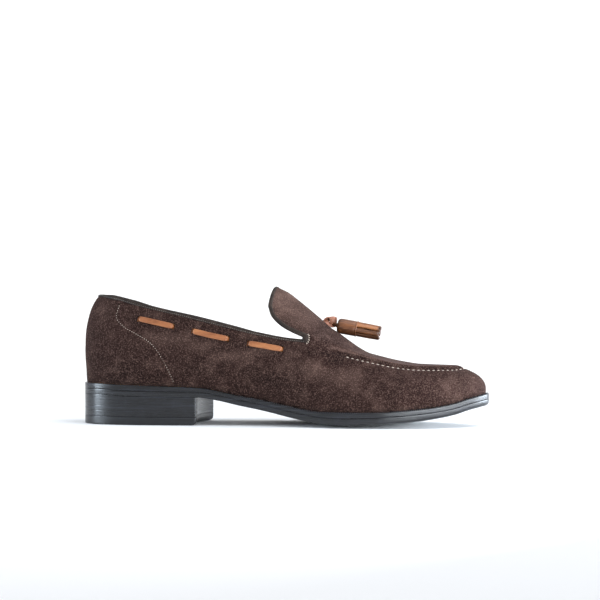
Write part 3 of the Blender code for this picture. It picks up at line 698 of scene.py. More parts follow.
def tidy(piece, close=True, apart=2e-6):
    """Merges doubles and, on a closed piece, fills its ends and turns its faces out."""
    pick(piece)
    bpy.ops.object.mode_set(mode="EDIT")
    bpy.ops.mesh.select_all(action="SELECT")
    bpy.ops.mesh.remove_doubles(threshold=apart)
    bpy.ops.mesh.dissolve_degenerate(threshold=apart / 10)
    if close:
        bpy.ops.mesh.select_all(action="SELECT")
        bpy.ops.mesh.fill_holes(sides=0)
        bpy.ops.mesh.normals_make_consistent(inside=False)
    bpy.ops.object.mode_set(mode="OBJECT")
    piece.data.shade_smooth()
    return piece


def sharpen(piece, degrees):
    pick(piece)
    bpy.ops.object.shade_smooth_by_angle(angle=math.radians(degrees))
    return piece


def apply_modifiers(piece):
    pick(piece)
    for modifier in list(piece.modifiers):
        bpy.ops.object.modifier_apply(modifier=modifier.name)
    return piece


def copy_of(piece, name):
    twin = piece.copy()
    twin.data = piece.data.copy()
    twin.name = name
    bpy.context.scene.collection.objects.link(twin)
    return twin


def rounded(width, thick, count=14, square=3.2):
    """A section between an ellipse and a rectangle."""
    turn = 2 * math.pi * np.arange(count) / count
    bend = 2 / square
    x = width / 2 * np.sign(np.cos(turn)) * np.abs(np.cos(turn)) ** bend
    y = thick / 2 * np.sign(np.sin(turn)) * np.abs(np.sin(turn)) ** bend
    return np.stack([x, y], axis=-1)


def strip(name, path, across, over, section):
    """A closed section, or one section for each point, carried along a path."""
    section = np.asarray(section, float)
    if section.ndim == 2:
        section = np.broadcast_to(section, (len(path), *section.shape))
    ring = np.concatenate([section, section[:, :1]], axis=1)
    points = path[:, None] + across[:, None] * ring[..., :1] + over[:, None] * ring[..., 1:]
    return tidy(grid_piece(name, points))


def report(piece):
    mesh = piece.data
    mesh.calc_loop_triangles()
    size = (np.ptp(coordinates(piece), axis=0) * 1000).round(1).tolist()
    print(f"{piece.name}: {len(mesh.loop_triangles)} triangles, {size} mm")


# %% [markdown]
# ## The upper
#
# The wall rises from the welt. Behind the throat it ends at the collar, and ahead of it the
# moccasin seam begins: the wall and the apron are pinched into a ridge, with a groove at its
# foot where the stitches lie. A ridge could be a bump in the material, but it casts the
# shadow that the eye reads first, so it is in the mesh.
#
# Each column of the grid is one line from the welt to the ridge of the instep, laid out by
# its length so that the rows are close together at the seam, and softened so that the ridge
# is round. Near the throat the softening is wide, and the ridge fades into the vamp there.

# %% Columns of the upper
# Rows are counted for a fineness of 6: the suede is a little finer, the lining coarser.
SUEDE_FINENESS, LINING_FINENESS = 7, 3
SEAM_ZONE = 0.004
NOTCH_CLOSED = 0.0032
ROWS_WALL, ROWS_LOW, ROWS_RIDGE, ROWS_HIGH, ROWS_APRON = 24, 7, 7, 7, 20
FINE = np.linspace(0, 1, 121)


def lengths_along(lines):
    step = np.linalg.norm(np.diff(lines, axis=1), axis=2)
    return np.concatenate([np.zeros((len(lines), 1)), np.cumsum(step, axis=1)], axis=1)


def at_lengths(lines, lengths, where):
    made = np.empty((*where.shape, 3))
    for k in range(len(lines)):
        for axis in range(3):
            made[k, :, axis] = np.interp(where[k], lengths[k], lines[k, :, axis])
    return made


def softened(lines, lengths, where, spread):
    """Points along the lines, each the weighted mean of the points near it."""
    ends = np.minimum(where, lengths[:, -1:] - where)
    reach = spread * np.clip(ends / 0.004, 0, 1)
    total, weight_sum = 0, 0
    for k in range(-6, 7):
        weight = math.exp(-0.5 * (k / 2.5) ** 2)
        total = total + weight * at_lengths(lines, lengths, where + reach * k / 2.5)
        weight_sum += weight
    return total / weight_sum


def steps(low, high, count, last=False):
    share = np.linspace(0, 1, count + 1)
    return low + (high - low) * (share if last else share[:-1])


def front_columns(side, u, fine):
    """Columns ahead of the throat: wall, groove, ridge and apron."""
    lines = np.concatenate([wall_lines(side, u, FINE), apron_lines(side, u, FINE)], axis=1)
    lengths = lengths_along(lines)
    foot, crest = lengths[:, len(FINE) - 1, None], lengths[:, len(FINE), None]
    end = lengths[:, -1:]
    where = np.concatenate(
        [
            steps(0, foot - SEAM_ZONE, ROWS_WALL * fine // 6),
            steps(foot - SEAM_ZONE, foot, ROWS_LOW * fine // 6),
            steps(foot, crest, ROWS_RIDGE * fine // 6),
            steps(crest, crest + SEAM_ZONE, ROWS_HIGH * fine // 6),
            steps(crest + SEAM_ZONE, end, ROWS_APRON * fine // 6, last=True),
        ],
        axis=1,
    )
    way = (along_of(u) - THROAT_ALONG) / (1 - THROAT_ALONG)
    fade = np.interp(way, [0, 0.04, 0.08, 0.14, 1], [0, 0.0036, 0.0020, 0.0006, 0.0006])[:, None]
    grid = softened(lines, lengths, where, fade)
    depth = np.interp(way, [0, 0.09, 0.18, 0.94, 1], [0, 0, 0.0010, 0.0010, 0.0003])[:, None]
    groove = depth * np.exp(-(((where - foot + 0.0004) / 0.0009) ** 2))
    inwards = -0.7 * plan_out(side, u) - [0, 0, 0.7]
    return grid + inwards[:, None] * groove[..., None], where - foot


def plan_out(side, u):
    return np.concatenate([outward(side, u), np.zeros((len(u), 1))], axis=1)


def collar_columns(side, u, fine):
    lines = wall_lines(side, u, FINE)
    lengths = lengths_along(lines)
    top = lengths[:, -1:]
    where = np.concatenate(
        [
            steps(0, top - SEAM_ZONE, ROWS_WALL * fine // 6),
            steps(top - SEAM_ZONE, top, ROWS_LOW * fine // 6, last=True),
        ],
        axis=1,
    )
    return at_lengths(lines, lengths, where)


def tongue_columns(side, way, fine):
    lines = tongue_lines(side, way, FINE)
    lengths = lengths_along(lines)
    end = lengths[:, -1:]
    where = np.concatenate(
        [
            steps(0 * end, 0 * end + SEAM_ZONE, ROWS_HIGH * fine // 6),
            steps(SEAM_ZONE + 0 * end, end, ROWS_APRON * fine // 6, last=True),
        ],
        axis=1,
    )
    return at_lengths(lines, lengths, where)


# %% [markdown]
# Suede that has been lasted is never quite even. A few soft hollows and swells, listed in
# the shoe's own millimetres, and a slow waviness of a tenth of a millimetre, give the light
# something to find.

# %% Hollows and swells
# Place from the back and height, half sizes, and how far out, in millimetres.
SWELLS = table(
    "side x z long tall out",
    (MEDIAL, 50, 44, 12, 8, -0.5),
    (MEDIAL, 82, 47, 13, 9, 0.45),
    (MEDIAL, 108, 40, 14, 8, -0.45),
    (MEDIAL, 128, 46, 16, 9, 0.5),
    (MEDIAL, 152, 42, 12, 9, -0.4),
    (MEDIAL, 172, 52, 12, 6, 0.5),
    (MEDIAL, 188, 49, 9, 4.5, -0.8),
    (MEDIAL, 198, 39, 13, 6, 0.4),
    (MEDIAL, 205, 34, 14, 8, -0.35),
    (MEDIAL, 236, 30, 15, 7, 0.3),
    (LATERAL, 52, 42, 13, 9, -0.45),
    (LATERAL, 90, 44, 14, 9, 0.45),
    (LATERAL, 124, 40, 15, 9, -0.4),
    (LATERAL, 150, 45, 15, 9, 0.45),
    (LATERAL, 190, 36, 14, 8, -0.35),
    (LATERAL, 232, 30, 15, 7, 0.3),
)
# Counter seam from the collar to the welt: distance from the back and height, in millimetres.
COUNTER_SEAM = table(
    "x z",
    (31.8, 88.8),
    (29.4, 78.6),
    (35.2, 71.5),
    (47.2, 65),
    (56.2, 59.4),
    (62.4, 52.3),
    (68.2, 42.2),
    (73.2, 30.2),
)


def way_along(rows, count):
    """Evenly spaced points on the curve through a table's x and z."""
    knots = np.arange(len(rows["x"]), dtype=float)
    fine = np.linspace(0, knots[-1], 400)
    line = by_column(lambda k: smooth(knots, rows["xz"[k]], fine), 2) / 1000
    far = distances(line)
    where = np.linspace(0, far[-1], count)
    return by_column(lambda k: np.interp(where, far, line[:, k]), 2), far[-1]


def spot(x, z, long, tall):
    """A soft round spot: 1 in its middle, and fading over its half sizes."""
    return np.exp(-((x / long) ** 2) - (z / tall) ** 2)


def relief(points, side, from_edge):
    """How far each point of the wall moves out."""
    at = shoe_mm(points)
    x, z = at[..., 0], at[..., 2]
    out = np.zeros(x.shape)
    for its_side, at_x, at_z, long, tall, far in zip(*SWELLS.values()):
        if its_side == side:
            out += far * spot(x - at_x, z - at_z, long, tall)
    for turn, pitch in ((0.3, 23.0), (1.2, 17.0), (2.2, 13.5), (2.8, 19.0)):
        way = x * math.cos(turn) + z * math.sin(turn)
        out += 0.055 * np.sin(2 * math.pi * way / pitch + 7 * turn)
    seam, _ = way_along(COUNTER_SEAM, 80)
    near = np.full(x.shape, 9.0)
    for at_x, at_z in seam * 1000:
        near = np.minimum(near, np.hypot(x - at_x, z - at_z))
    out -= 0.28 * np.exp(-((near / 1.1) ** 2))
    return out / 1000 * np.clip(from_edge / 0.007, 0, 1)


print("swells:", len(SWELLS["x"]), "counter seam:", round(way_along(COUNTER_SEAM, 80)[1] * 1000), "mm")

# %% [markdown]
# The sheet of the upper is laid in panels, like a pattern on the bench: collar, front and
# tongue on each side, and a small gusset that closes the end of the notch between collar and
# tongue. It could be one large grid, but its edge turns the corner of the notch. Panels that
# share the points of their edges are sewn by merging those points.

# %% Sheet of the upper
def throat_gusset(side, fine):
    """Closes the last few millimetres of the notch between collar and tongue."""
    low = wall_top(side, np.linspace(THROAT_U - NOTCH_CLOSED / 0.4535, THROAT_U, 7))
    edge = tongue_lines(side, np.linspace(0.2, 0, 100), [0])[:, 0]
    high = by_column(lambda k: np.interp(low[:, 0], edge[:, 0], edge[:, k]))
    share = np.linspace(0, 1, ROWS_RIDGE * fine // 6 + 1)[None, :, None]
    return low[:, None] * (1 - share) + high[:, None] * share


def upper_skin(name, fine):
    """The outer face of the whole upper, as one open sheet."""
    collar_u = np.linspace(0, THROAT_U, 26 * fine + 1)
    front_u = np.linspace(THROAT_U, 1, 22 * fine + 1)
    way = np.linspace(0, 1, 8 * fine + 1)
    panels = []
    for side in (MEDIAL, LATERAL):
        order = slice(None) if side == MEDIAL else slice(None, None, -1)
        grid = collar_columns(side, collar_u, fine)
        length = lengths_along(grid)
        from_edge = np.minimum(length, length[:, -1:] - length)
        grid = grid + plan_out(side, collar_u)[:, None] * relief(grid, side, from_edge)[..., None]
        panels.append(grid_piece("collar_panel", grid[order]))
        grid, from_seam = front_columns(side, front_u, fine)
        length = lengths_along(grid)
        from_edge = np.minimum(length, np.abs(from_seam)) * (from_seam < 0)
        grid = grid + plan_out(side, front_u)[:, None] * relief(grid, side, from_edge)[..., None]
        panels.append(grid_piece("front_panel", grid[order]))
        grid = tongue_columns(side, way, fine)
        panels.append(grid_piece("tongue_panel", grid[::-1][order]))
        panels.append(grid_piece("gusset", throat_gusset(side, fine)[order]))
    return tidy(join(name, panels), close=False, apart=2e-5)


suede_upper = upper_skin("suede_upper", SUEDE_FINENESS)
report(suede_upper)

# %% [markdown]
# The lining is a second skin inside the suede. It is a coarser copy of the same sheet, set
# inwards by the suede's thickness, and it stands further in where a lace runs between the
# two. Solidify gives both their thickness.

# %% Lining and wall thickness
SUEDE_THICKNESS = 0.0009
LACE_WIDTH = 0.004
LACE_THICKNESS = 0.0013
LACE_DROP = 0.0083


def thicken(piece, thickness):
    solid = piece.modifiers.new("thickness", "SOLIDIFY")
    solid.thickness = thickness
    solid.offset = -1
    return apply_modifiers(piece)


def lace_place(side, x, drop):
    """Points of the wall a given drop below the collar's edge, with the ways along and out."""
    way = (x - TOP_BACK) / (THROAT_FROM_BACK - TOP_BACK)
    lines = wall_lines(side, station_of(THROAT_ALONG * way), np.linspace(0.4, 1, 61))
    points = np.empty((len(x), 3))
    rise = np.empty((len(x), 3))
    for k, line in enumerate(lines):
        level = line[-1, 2] + BINDING_DEPTH - drop[k]
        points[k] = [np.interp(level, line[:, 2], line[:, axis]) for axis in range(3)]
        i = int(np.clip(np.searchsorted(line[:, 2], level), 1, 60))
        rise[k] = line[i] - line[i - 1]
    ahead = unit(np.gradient(points, axis=0))
    return points, ahead, unit(np.cross(ahead, rise)) * -side


def lace_drop(x):
    middle = SOLE_LENGTH * (LACE_RUNS["start"] + LACE_RUNS["end"]) / 2
    return LACE_DROP * np.interp(x, middle, LACE_RUNS["drop"])


lining = upper_skin("lining", LINING_FINENESS)
at, normal = coordinates(lining), coordinates(lining, "normal")
depth = np.full(len(at), SUEDE_THICKNESS + 0.00012)
first, last = LACE_RUNS["start"][0] * SOLE_LENGTH, LACE_RUNS["end"][-1] * SOLE_LENGTH
for side in (MEDIAL, LATERAL):
    x = np.linspace(first, last, 60)
    run, _, _ = lace_place(side, x, lace_drop(x))
    for k in np.flatnonzero((at[:, 1] * side > 0) & (at[:, 0] < 0.13)):
        near = np.linalg.norm(run - at[k], axis=1).min()
        depth[k] += 0.0017 * min(1.0, max(0.0, (0.0055 - near) / 0.0028))
place_points(lining, at - normal * depth[:, None])
lining = thicken(lining, 0.0009)
report(lining)
suede_upper = thicken(suede_upper, SUEDE_THICKNESS)
report(suede_upper)

# %% [markdown]
# ## The side laces
#
# A flat tan lace is woven through slits on each side: it lies outside on three runs and
# inside between them. Three separate tabs would look alike from outside, but their ends
# would float. One strip is swept along the whole way, so that each end of a run really
# dives through its slit.

# %% Laces
LACE_DIVE = 0.0014


def run_ends():
    return SOLE_LENGTH * np.sort(np.concatenate([LACE_RUNS["start"], LACE_RUNS["end"]]))


def lace_depth(x):
    outside = FIT + LACE_THICKNESS / 2
    inside = -(SUEDE_THICKNESS + 0.00025 + LACE_THICKNESS / 2)
    depth = np.full_like(x, inside)
    for start, end in zip(LACE_RUNS["start"], LACE_RUNS["end"]):
        rise = np.clip((x - start * SOLE_LENGTH) / LACE_DIVE + 1.2, 0, 1)
        fall = np.clip((x - end * SOLE_LENGTH) / LACE_DIVE + 0.2, 0, 1)
        depth += (outside - inside) * (rise**2 * (3 - 2 * rise) - fall**2 * (3 - 2 * fall))
        middle = np.clip((x / SOLE_LENGTH - start) / (end - start), 0, 1)
        depth += 0.0005 * np.sin(math.pi * middle) ** 0.7
    return depth


def make_lace(side):
    ends = run_ends() + LACE_DIVE * np.tile([-0.7, 0.3], 3)
    dives = (ends[:, None] + LACE_DIVE * np.linspace(-0.6, 0.6, 13)).ravel()
    plain = np.linspace(ends[0] - 0.004, ends[-1] + 0.004, 70)
    plain = plain[np.abs(plain[:, None] - ends).min(axis=1) > LACE_DIVE * 0.65]
    x = np.sort(np.concatenate([dives, plain]))
    points, ahead, out = lace_place(side, x, lace_drop(x))
    middle = points + out * lace_depth(x)[:, None]
    across = unit(np.cross(ahead, out))
    over = unit(np.cross(across, unit(np.gradient(middle, axis=0))))
    section = rounded(1, 1, 16, 3.6)
    narrow = np.abs(x[:, None] - ends).min(axis=1) / (LACE_DIVE * 1.3)
    width = LACE_WIDTH * (0.5 + 0.5 * np.sqrt(1 - (1 - np.clip(narrow, 0, 1)) ** 2))
    size = np.stack([width, np.full_like(width, LACE_THICKNESS)], axis=-1)
    return strip("lace_strip_" + SIDE_NAME[side], middle, across, over, section * size[:, None])


laces = [make_lace(side) for side in (MEDIAL, LATERAL)]
for lace in laces:
    report(lace)

# %% [markdown]
# Each slit is punched through the suede where a run ends. Leaving faces out of the sheet would
# give a ragged hole, because its rows don't follow the lace. A small box, turned to the lace
# and taken away by a boolean, leaves a clean one.

# %% Slits
SLIT_SIZE = (0.0020, 0.0044, 0.0021)
SLIT_SHIFT = (-0.0016, 0.0008)
cutters, slit_places = [], []
for side in (MEDIAL, LATERAL):
    for k, x in enumerate(run_ends()):
        shift = SLIT_SHIFT[k % 2]
        near = np.array([x + shift - 0.001, x + shift, x + shift + 0.001])
        points, ahead, out = lace_place(side, near, lace_drop(near))
        slit_places.append(points[1])
        along, away = Vector(ahead[1]), Vector(out[1])
        turn = Matrix((along, away.cross(along), away)).transposed().to_4x4()
        deselect()
        bpy.ops.mesh.primitive_cube_add(size=1)
        cutter = bpy.context.object
        size = Matrix.Diagonal((*SLIT_SIZE, 1))
        cutter.data.transform(Matrix.Translation(Vector(points[1])) @ turn @ size)
        cutters.append(cutter)
cutter = join("slits", cutters)
cut = suede_upper.modifiers.new("slits", "BOOLEAN")
cut.object = cutter
cut.operation = "DIFFERENCE"
cut.solver = "EXACT"
apply_modifiers(suede_upper)
bpy.data.objects.remove(cutter, do_unlink=True)
suede_upper.data.shade_smooth()
sharpen(suede_upper, 50)
report(suede_upper)

# %% [markdown]
# ## The bindings
#
# A strip of thin dark leather is folded over the raw edge of the collar and of the tongue.
# The rim of the wall could be bevelled and coloured, but a real binding stands proud of the
# suede on both sides. Its section is a narrow U with a round back, swept along the edge.

# %% Collar and tongue binding
def edge_paths():
    """The middle of the wall's edge along the collar and along the tongue, with its frame."""
    collar_u = np.linspace(0, THROAT_U, 131)
    rows = np.linspace(0, 1, 61)
    medial, lateral = (wall_lines(side, collar_u, rows) for side in (MEDIAL, LATERAL))
    collar = np.concatenate([medial[::-1], lateral[1:]])
    path, normal = collar[:, -1], -normals_of(collar)[:, -1]
    paths = {"collar": (path, normal)}
    way = np.linspace(0, 1, 49)
    medial, lateral = (tongue_lines(side, way, rows) for side in (MEDIAL, LATERAL))
    tongue = np.concatenate([medial, lateral[:, -2::-1]], axis=1)
    normal = -normals_of(tongue)
    border = [(slice(None, -1), -1), (-1, slice(None, None, -1)), (slice(-2, None, -1), 0)]
    path = np.concatenate([tongue[part] for part in border])
    normal = np.concatenate([normal[part] for part in border])
    far = distances(path)
    even = np.linspace(0, far[-1], 240)
    path, normal = (by_column(lambda k: np.interp(even, far, a[:, k])) for a in (path, normal))
    kernel = np.exp(-0.5 * (np.arange(-6, 7) / 2.5) ** 2)
    padded = np.pad(normal, ((6, 6), (0, 0)), mode="edge")
    normal = by_column(lambda k: np.convolve(padded[:, k], kernel / kernel.sum(), "valid"))
    paths["tongue"] = (path, unit(normal))
    return paths


EDGES = edge_paths()
BINDING_SECTION = np.array(
    [
        (-1.45, -0.40), (-1.55, 0.25), (-1.50, 0.90), (-1.25, 1.50), (-0.75, 1.92), (0.0, 2.05),
        (0.75, 1.92), (1.25, 1.50), (1.50, 0.90), (1.55, 0.25), (1.45, -0.40), (1.05, -0.42),
        (1.02, 0.10), (-1.02, 0.10), (-1.05, -0.42),
    ]
) / 1000


def edge_frame(path, normal):
    ahead = unit(np.gradient(path, axis=0))
    over = unit(np.cross(ahead, normal))
    return path - normal * WALL / 2, unit(np.cross(over, ahead)), over


bindings = {}
for edge, (path, normal) in EDGES.items():
    far = distances(path)
    kept = (far > NOTCH_CLOSED) & (far < far[-1] - NOTCH_CLOSED)
    EDGES[edge] = path[kept], normal[kept]
    middle, across, over = edge_frame(*EDGES[edge])
    name = "topline_binding" if edge == "collar" else "tongue_binding"
    bindings[edge] = strip(name + "_strip", middle, across, over, BINDING_SECTION)
    report(bindings[edge])

# %% [markdown]
# ## Sole, welt and heel
#
# Under the upper lie a welt, an outsole and a stacked heel. Their edges are trimmed, sanded
# and waxed, so corners are just broken and thin lines show between the layers. A flat
# outline could be extruded and bent, but the sole's section changes all the way, so it is a
# rolled grid like the strips.

# %% Outsole and welt
SOLE_U = np.linspace(0, 1, 193)
LANES = (1 - np.cos(math.pi * np.arange(1, 10) / 10)) / 2


def sole_plan(inset):
    inset = np.broadcast_to(inset, SOLE_U.shape)
    return [inset_line(side, SOLE_U, inset) for side in (MEDIAL, LATERAL)]


def make_outsole():
    along = along_of(SOLE_U)
    under = edge_floor(along)
    rest = REST_DEPTH * (1 - read(PROFILE, "heel", along))
    top = outsole_top(along)
    full = np.interp(along, [0, 0.295, 0.33, 0.80, 0.97], [0.12, 0.12, 1, 1, 2])
    low_level = np.maximum(under - rest, 0)
    # Inset and rise of the lower corner, sharp over the heel and full at the toe.
    lower = ((0.9, 0.0), (0.35, 0.22), (0.05, 0.75), (0.0, 1.3))
    upper = ((0.0, -0.8), (0.0, -0.3), (0.12, -0.05), (0.5, 0.0))
    rows = [(inset * full, low_level + rise * full / 1000) for inset, rise in lower]
    rows += [(inset, top + rise / 1000) for inset, rise in upper]
    edges = {side: [] for side in (MEDIAL, LATERAL)}
    for inset, level in rows:
        for side, plan in zip((MEDIAL, LATERAL), sole_plan(inset / 1000)):
            edges[side].append(rise_to(plan, level))
    inner = sole_plan(0.0009 * full)
    bottom = []
    for share in LANES:
        plan = inner[0] * (1 - share) + inner[1] * share
        bowed = sole_floor(along) + (under - sole_floor(along)) * (2 * share - 1) ** 2
        bottom.append(rise_to(plan, np.maximum(bowed - rest, 0)))
    ring = edges[MEDIAL][::-1] + bottom + edges[LATERAL]
    ring.append(ring[0])
    return tidy(grid_piece("leather_outsole", np.stack(ring, axis=1)))


def make_welt():
    """A ring round the shoe: the section's insets are shares of the way to its inner edge."""
    # Inset share, and height from the bottom and from the top, in millimetres.
    section = [(0.0, -0.2, 0), (0.0, 0.3, 0), (0.0, 0, -0.9), (0.0, 0, -0.5), (0.012, 0, -0.18)]
    section += [(0.04, 0, -0.03), (0.12, 0, 0.0), (1.0, 0, 0.0), (1.0, -0.22, 0), (0.05, -0.22, 0)]
    points = []
    for side, order in ((MEDIAL, slice(0, -1)), (LATERAL, slice(None, 0, -1))):
        along = along_of(SOLE_U)
        inner = feather_inset(SOLE_U) + WALL + 0.002
        columns = []
        for share, low, high in section:
            plan = inset_line(side, SOLE_U, inner * share)
            level = outsole_top(along) + FIT + low / 1000 if low else welt_top(along) + high / 1000
            columns.append(rise_to(plan, level))
        points.append(np.stack(columns + columns[:1], axis=1)[order])
    ring = np.concatenate(points)
    return tidy(grid_piece("welt_strip", np.concatenate([ring, ring[:1]])))


outsole, welt = make_outsole(), make_welt()
report(outsole)
report(welt)


# %% [markdown]
# The heel is a stack of leather lifts on a rubber top piece, and its front, the breast, is
# hollow. It could be cut out of a block with booleans. A wall of rows round its plan keeps
# the grooves between the lifts crisp, and close rows at each corner keep its sides flat
# under smooth shading.

# %% Heel
HEEL_COLUMNS = 300


def heel_plan():
    """Plan of the heel, its corners rounded a little, with the way out at each point."""
    last = float(station_of(HEEL_LENGTH / SOLE_LENGTH))
    u = np.linspace(0, last, 120)
    medial, lateral = (edge_line(side, u) for side in (MEDIAL, LATERAL))
    share = np.linspace(0, 1, 40)[1:-1, None]
    breast = lateral[-1] * (1 - share) + medial[-1] * share
    breast[:, 0] -= BREAST_HOLLOW * 4 * share[:, 0] * (1 - share[:, 0])
    line = np.concatenate([medial[::-1], lateral[1:], breast, medial[-1:]])
    far = distances(line)
    even = np.linspace(0, far[-1], HEEL_COLUMNS, endpoint=False)
    line = by_column(lambda k: np.interp(even, far, line[:, k]), 2)
    for _ in range(3):
        line = (np.roll(line, 1, axis=0) + 2 * line + np.roll(line, -1, axis=0)) / 4
    ahead = unit(np.roll(line, -1, axis=0) - np.roll(line, 1, axis=0))
    return line, np.stack([ahead[:, 1], -ahead[:, 0]], axis=-1)


def layered(name, rows, front_edge=0.0, to_seat=False):
    """A heel layer from rows of height and inset in mm, its top level or up to the outsole."""
    line, out = heel_plan()
    if np.sum(out * (line - line.mean(axis=0))) < 0:
        out = -out
    front = np.clip(line[:, 0] / (HEEL_LENGTH - BREAST_HOLLOW) * 3 - 2, 0, 1)
    columns = []
    for height, inset in rows:
        plan = line - out * inset / 1000
        down = max(0.0, front_edge - height)
        plan[:, 0] -= front * (front_edge - math.sqrt(max(0.0, front_edge**2 - down**2))) / 1000
        seat = sole_floor(line[:, 0] / SOLE_LENGTH) * 1000 - 0.08
        share = max(0.0, height - rows[0][0]) / (rows[-1][0] - rows[0][0]) if to_seat else 0
        columns.append(rise_to(plan, (height + (seat - rows[-1][0]) * share) / 1000))
    grid = np.stack(columns, axis=1)
    return tidy(grid_piece(name, np.concatenate([grid, grid[:1]])))


low, high = (TOP_PIECE_THICKNESS + FIT) * 1000 - 0.22, HEEL_HEIGHT * 1000 - 0.08
rows = [(low, 0.5), (low, 0.12), (low + 0.14, 0.0), (low + 0.4, 0.0)]
for seam in (low + 3.6, low + 7.1, low + 10.6):
    rows += [(seam + off, 0.05 if off == 0 else 0.0) for off in (-0.3, -0.1, 0, 0.1, 0.3)]
rows += [(high - 0.5, 0.0), (high - 0.15, 0.0), (high - 0.02, 0.08), (high, 0.5)]
heel_stack = layered("heel_lifts", rows, to_seat=True)
top = TOP_PIECE_THICKNESS * 1000
rows = [(0.0, 1.0), (0.0, 0.5), (0.1, 0.22), (0.3, 0.06)]
rows += [(height, 0.0) for height in (0.6, 1.0, 1.5, 2.1, 2.9, 3.8, top - 0.4, top - 0.14)]
rows += [(top, 0.12), (top, 0.6)]
top_piece = layered("heel_top_layer", rows, front_edge=3.8)
report(heel_stack)
report(top_piece)

# %% [markdown]
# ## Knot and tassels
#
# A thong is tied on the instep in two flat folded loops. Each tassel hangs from it by a
# thong: its head is a strip of leather rolled up tight and glued, and the rest of the strip
# is cut into a fringe. Modelling each strip apart gives the dark gaps between them that a
# grooved cylinder lacks.

# %% Knot
lo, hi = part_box("tassel_knot")
KNOT = (Vector(lo) + Vector(hi)) / 2 + Vector((0, 0, -0.0003))
BAND = rounded(0.0030, 0.0010, 12, 3.4)


def curve_through(points, count):
    """A smooth way through a few given points."""
    points = np.asarray(points, float)
    far = distances(points)
    tangent = np.gradient(points, far, axis=0)
    at = np.linspace(0, far[-1], count)
    i = np.clip(np.searchsorted(far, at, side="right") - 1, 0, len(far) - 2)
    step = (far[i + 1] - far[i])[:, None]
    t = (at - far[i])[:, None] / step
    a, b = points[i], points[i + 1]
    da, db = tangent[i] * step, tangent[i + 1] * step
    near = a * (1 + 2 * t) * (1 - t) ** 2 + da * t * (1 - t) ** 2
    return near + b * (3 - 2 * t) * t**2 - db * t**2 * (1 - t)


def band(name, points, wide, section=BAND, count=40):
    """A flat thong through points in mm from the knot's middle, wide in the given direction."""
    path = np.array(KNOT) + curve_through(np.array(points) / 1000, count)
    ahead = unit(np.gradient(path, axis=0))
    wide = np.broadcast_to(np.asarray(wide, float), ahead.shape)
    over = unit(np.cross(ahead, wide))
    return strip(name, path, unit(np.cross(over, ahead)), over, section)


def keep_values(piece, name, values):
    """One value, or one for each point, kept on the points for a finish to read."""
    stored = piece.data.attributes.new(name, "FLOAT", "POINT")
    values = np.broadcast_to(values, len(piece.data.vertices)).astype(np.float32)
    stored.data.foreach_set("value", values)
    return piece


def tone_and_shade(piece, tone):
    """How light the leather is, as a value on the points of a piece: its own tone together with
    painted light and shade.
    """
    return keep_values(piece, "tone", tone)


FULL_BAND = rounded(0.0038, 0.0012, 12, 3.4)
REAR_LOOP = [
    (-4.9, 2.2, -2.4), (-5.0, 1.2, -0.6), (-4.3, 0.3, 1.0), (-2.6, -0.3, 2.2),
    (-0.4, -0.3, 2.5), (1.2, 0.2, 1.8), (1.6, 1.0, 0.2),
]
LOWER_FOLD = [
    (-4.6, 0.9, -0.9), (-3.4, -0.9, -0.6), (-2.0, -1.5, -1.4), (-0.4, -1.4, -2.6),
    (1.2, -0.8, -3.3), (2.8, 0.2, -3.2),
]
TURN = [
    (1.4, 0.9, 2.6), (1.3, -0.8, 2.5), (1.5, -1.8, 1.2), (1.7, -1.9, -0.6), (1.9, -1.1, -2.2),
    (2.0, 0.6, -2.8), (2.1, 2.0, -1.2), (2.0, 2.1, 1.2), (1.6, 1.3, 2.5),
]
FRONT_FOLD = [(3.2, 1.2, 2.2), (3.8, -0.2, 1.8), (4.0, -0.9, 0.5), (3.7, -0.7, -1.2), (3.0, 0.1, -2.2)]
SHADOW_CORE = [(-3.6, 1.6, -0.6), (-2.0, 1.5, 0.9), (0.0, 1.3, 0.9), (1.6, 0.9, -0.4), (2.8, 0.6, -1.8)]
# The core is a thong inside the knot, painted dark as the shade in the hole of the loop.
knot_bands = [
    tone_and_shade(band("rear_loop", REAR_LOOP, (0.1, 1, 0.1)), 0.7),
    tone_and_shade(band("lower_fold", LOWER_FOLD, (0.35, 1, 0.9), FULL_BAND), 0.55),
    tone_and_shade(band("turn", TURN, (1, 0.05, 0.1), FULL_BAND, 60), 0.6),
    tone_and_shade(band("front_fold", FRONT_FOLD, (1, 0.2, 0.3), rounded(0.0022, 0.0011, 12, 3.4)), 0.35),
    tone_and_shade(band("shadow_core", SHADOW_CORE, (0.1, 1, 0.4), rounded(0.0030, 0.0026, 12, 2.6)), 0.0),
]
knot = join("tied_thong", knot_bands)
report(knot)

# %% [markdown]
# A tassel is modelled once, lying along X from the rear of its head, and copied to its two
# places, which are read from the solids. Its thong is swept to it from the knot.

# %% One tassel
HEAD_LENGTH = 0.0150
HEAD_RADIUS = 0.0055
FRINGE_LENGTH = 0.0165
# How light each strip of the fringe is, as painted light and shade: the strips on top are lighter and
# those below darker.
FRINGE_LIGHT_AND_SHADE = (0.6, 0.5, 0.4, 0.3, 0.0, 0.3, 0.9)
FRINGE_STRIPS = len(FRINGE_LIGHT_AND_SHADE)


def turned(name, profile, around=40, seam=0.0):
    """A grid rolled round the X axis: rows of distance and radius, in millimetres."""
    turn = np.linspace(0, 2 * math.pi, around + 1)
    lap = seam * np.clip((turn / (2 * math.pi) - 0.9) / 0.04, 0, 1)
    points = []
    for x, radius in profile:
        r = radius + lap * (radius > 2)
        x = np.full(around + 1, x)
        points.append(np.stack([x, r * np.sin(turn), r * np.cos(turn)], axis=-1))
    points = np.stack(points) / 1000
    points[:, -1] = points[:, 0]
    return tidy(grid_piece(name, points))


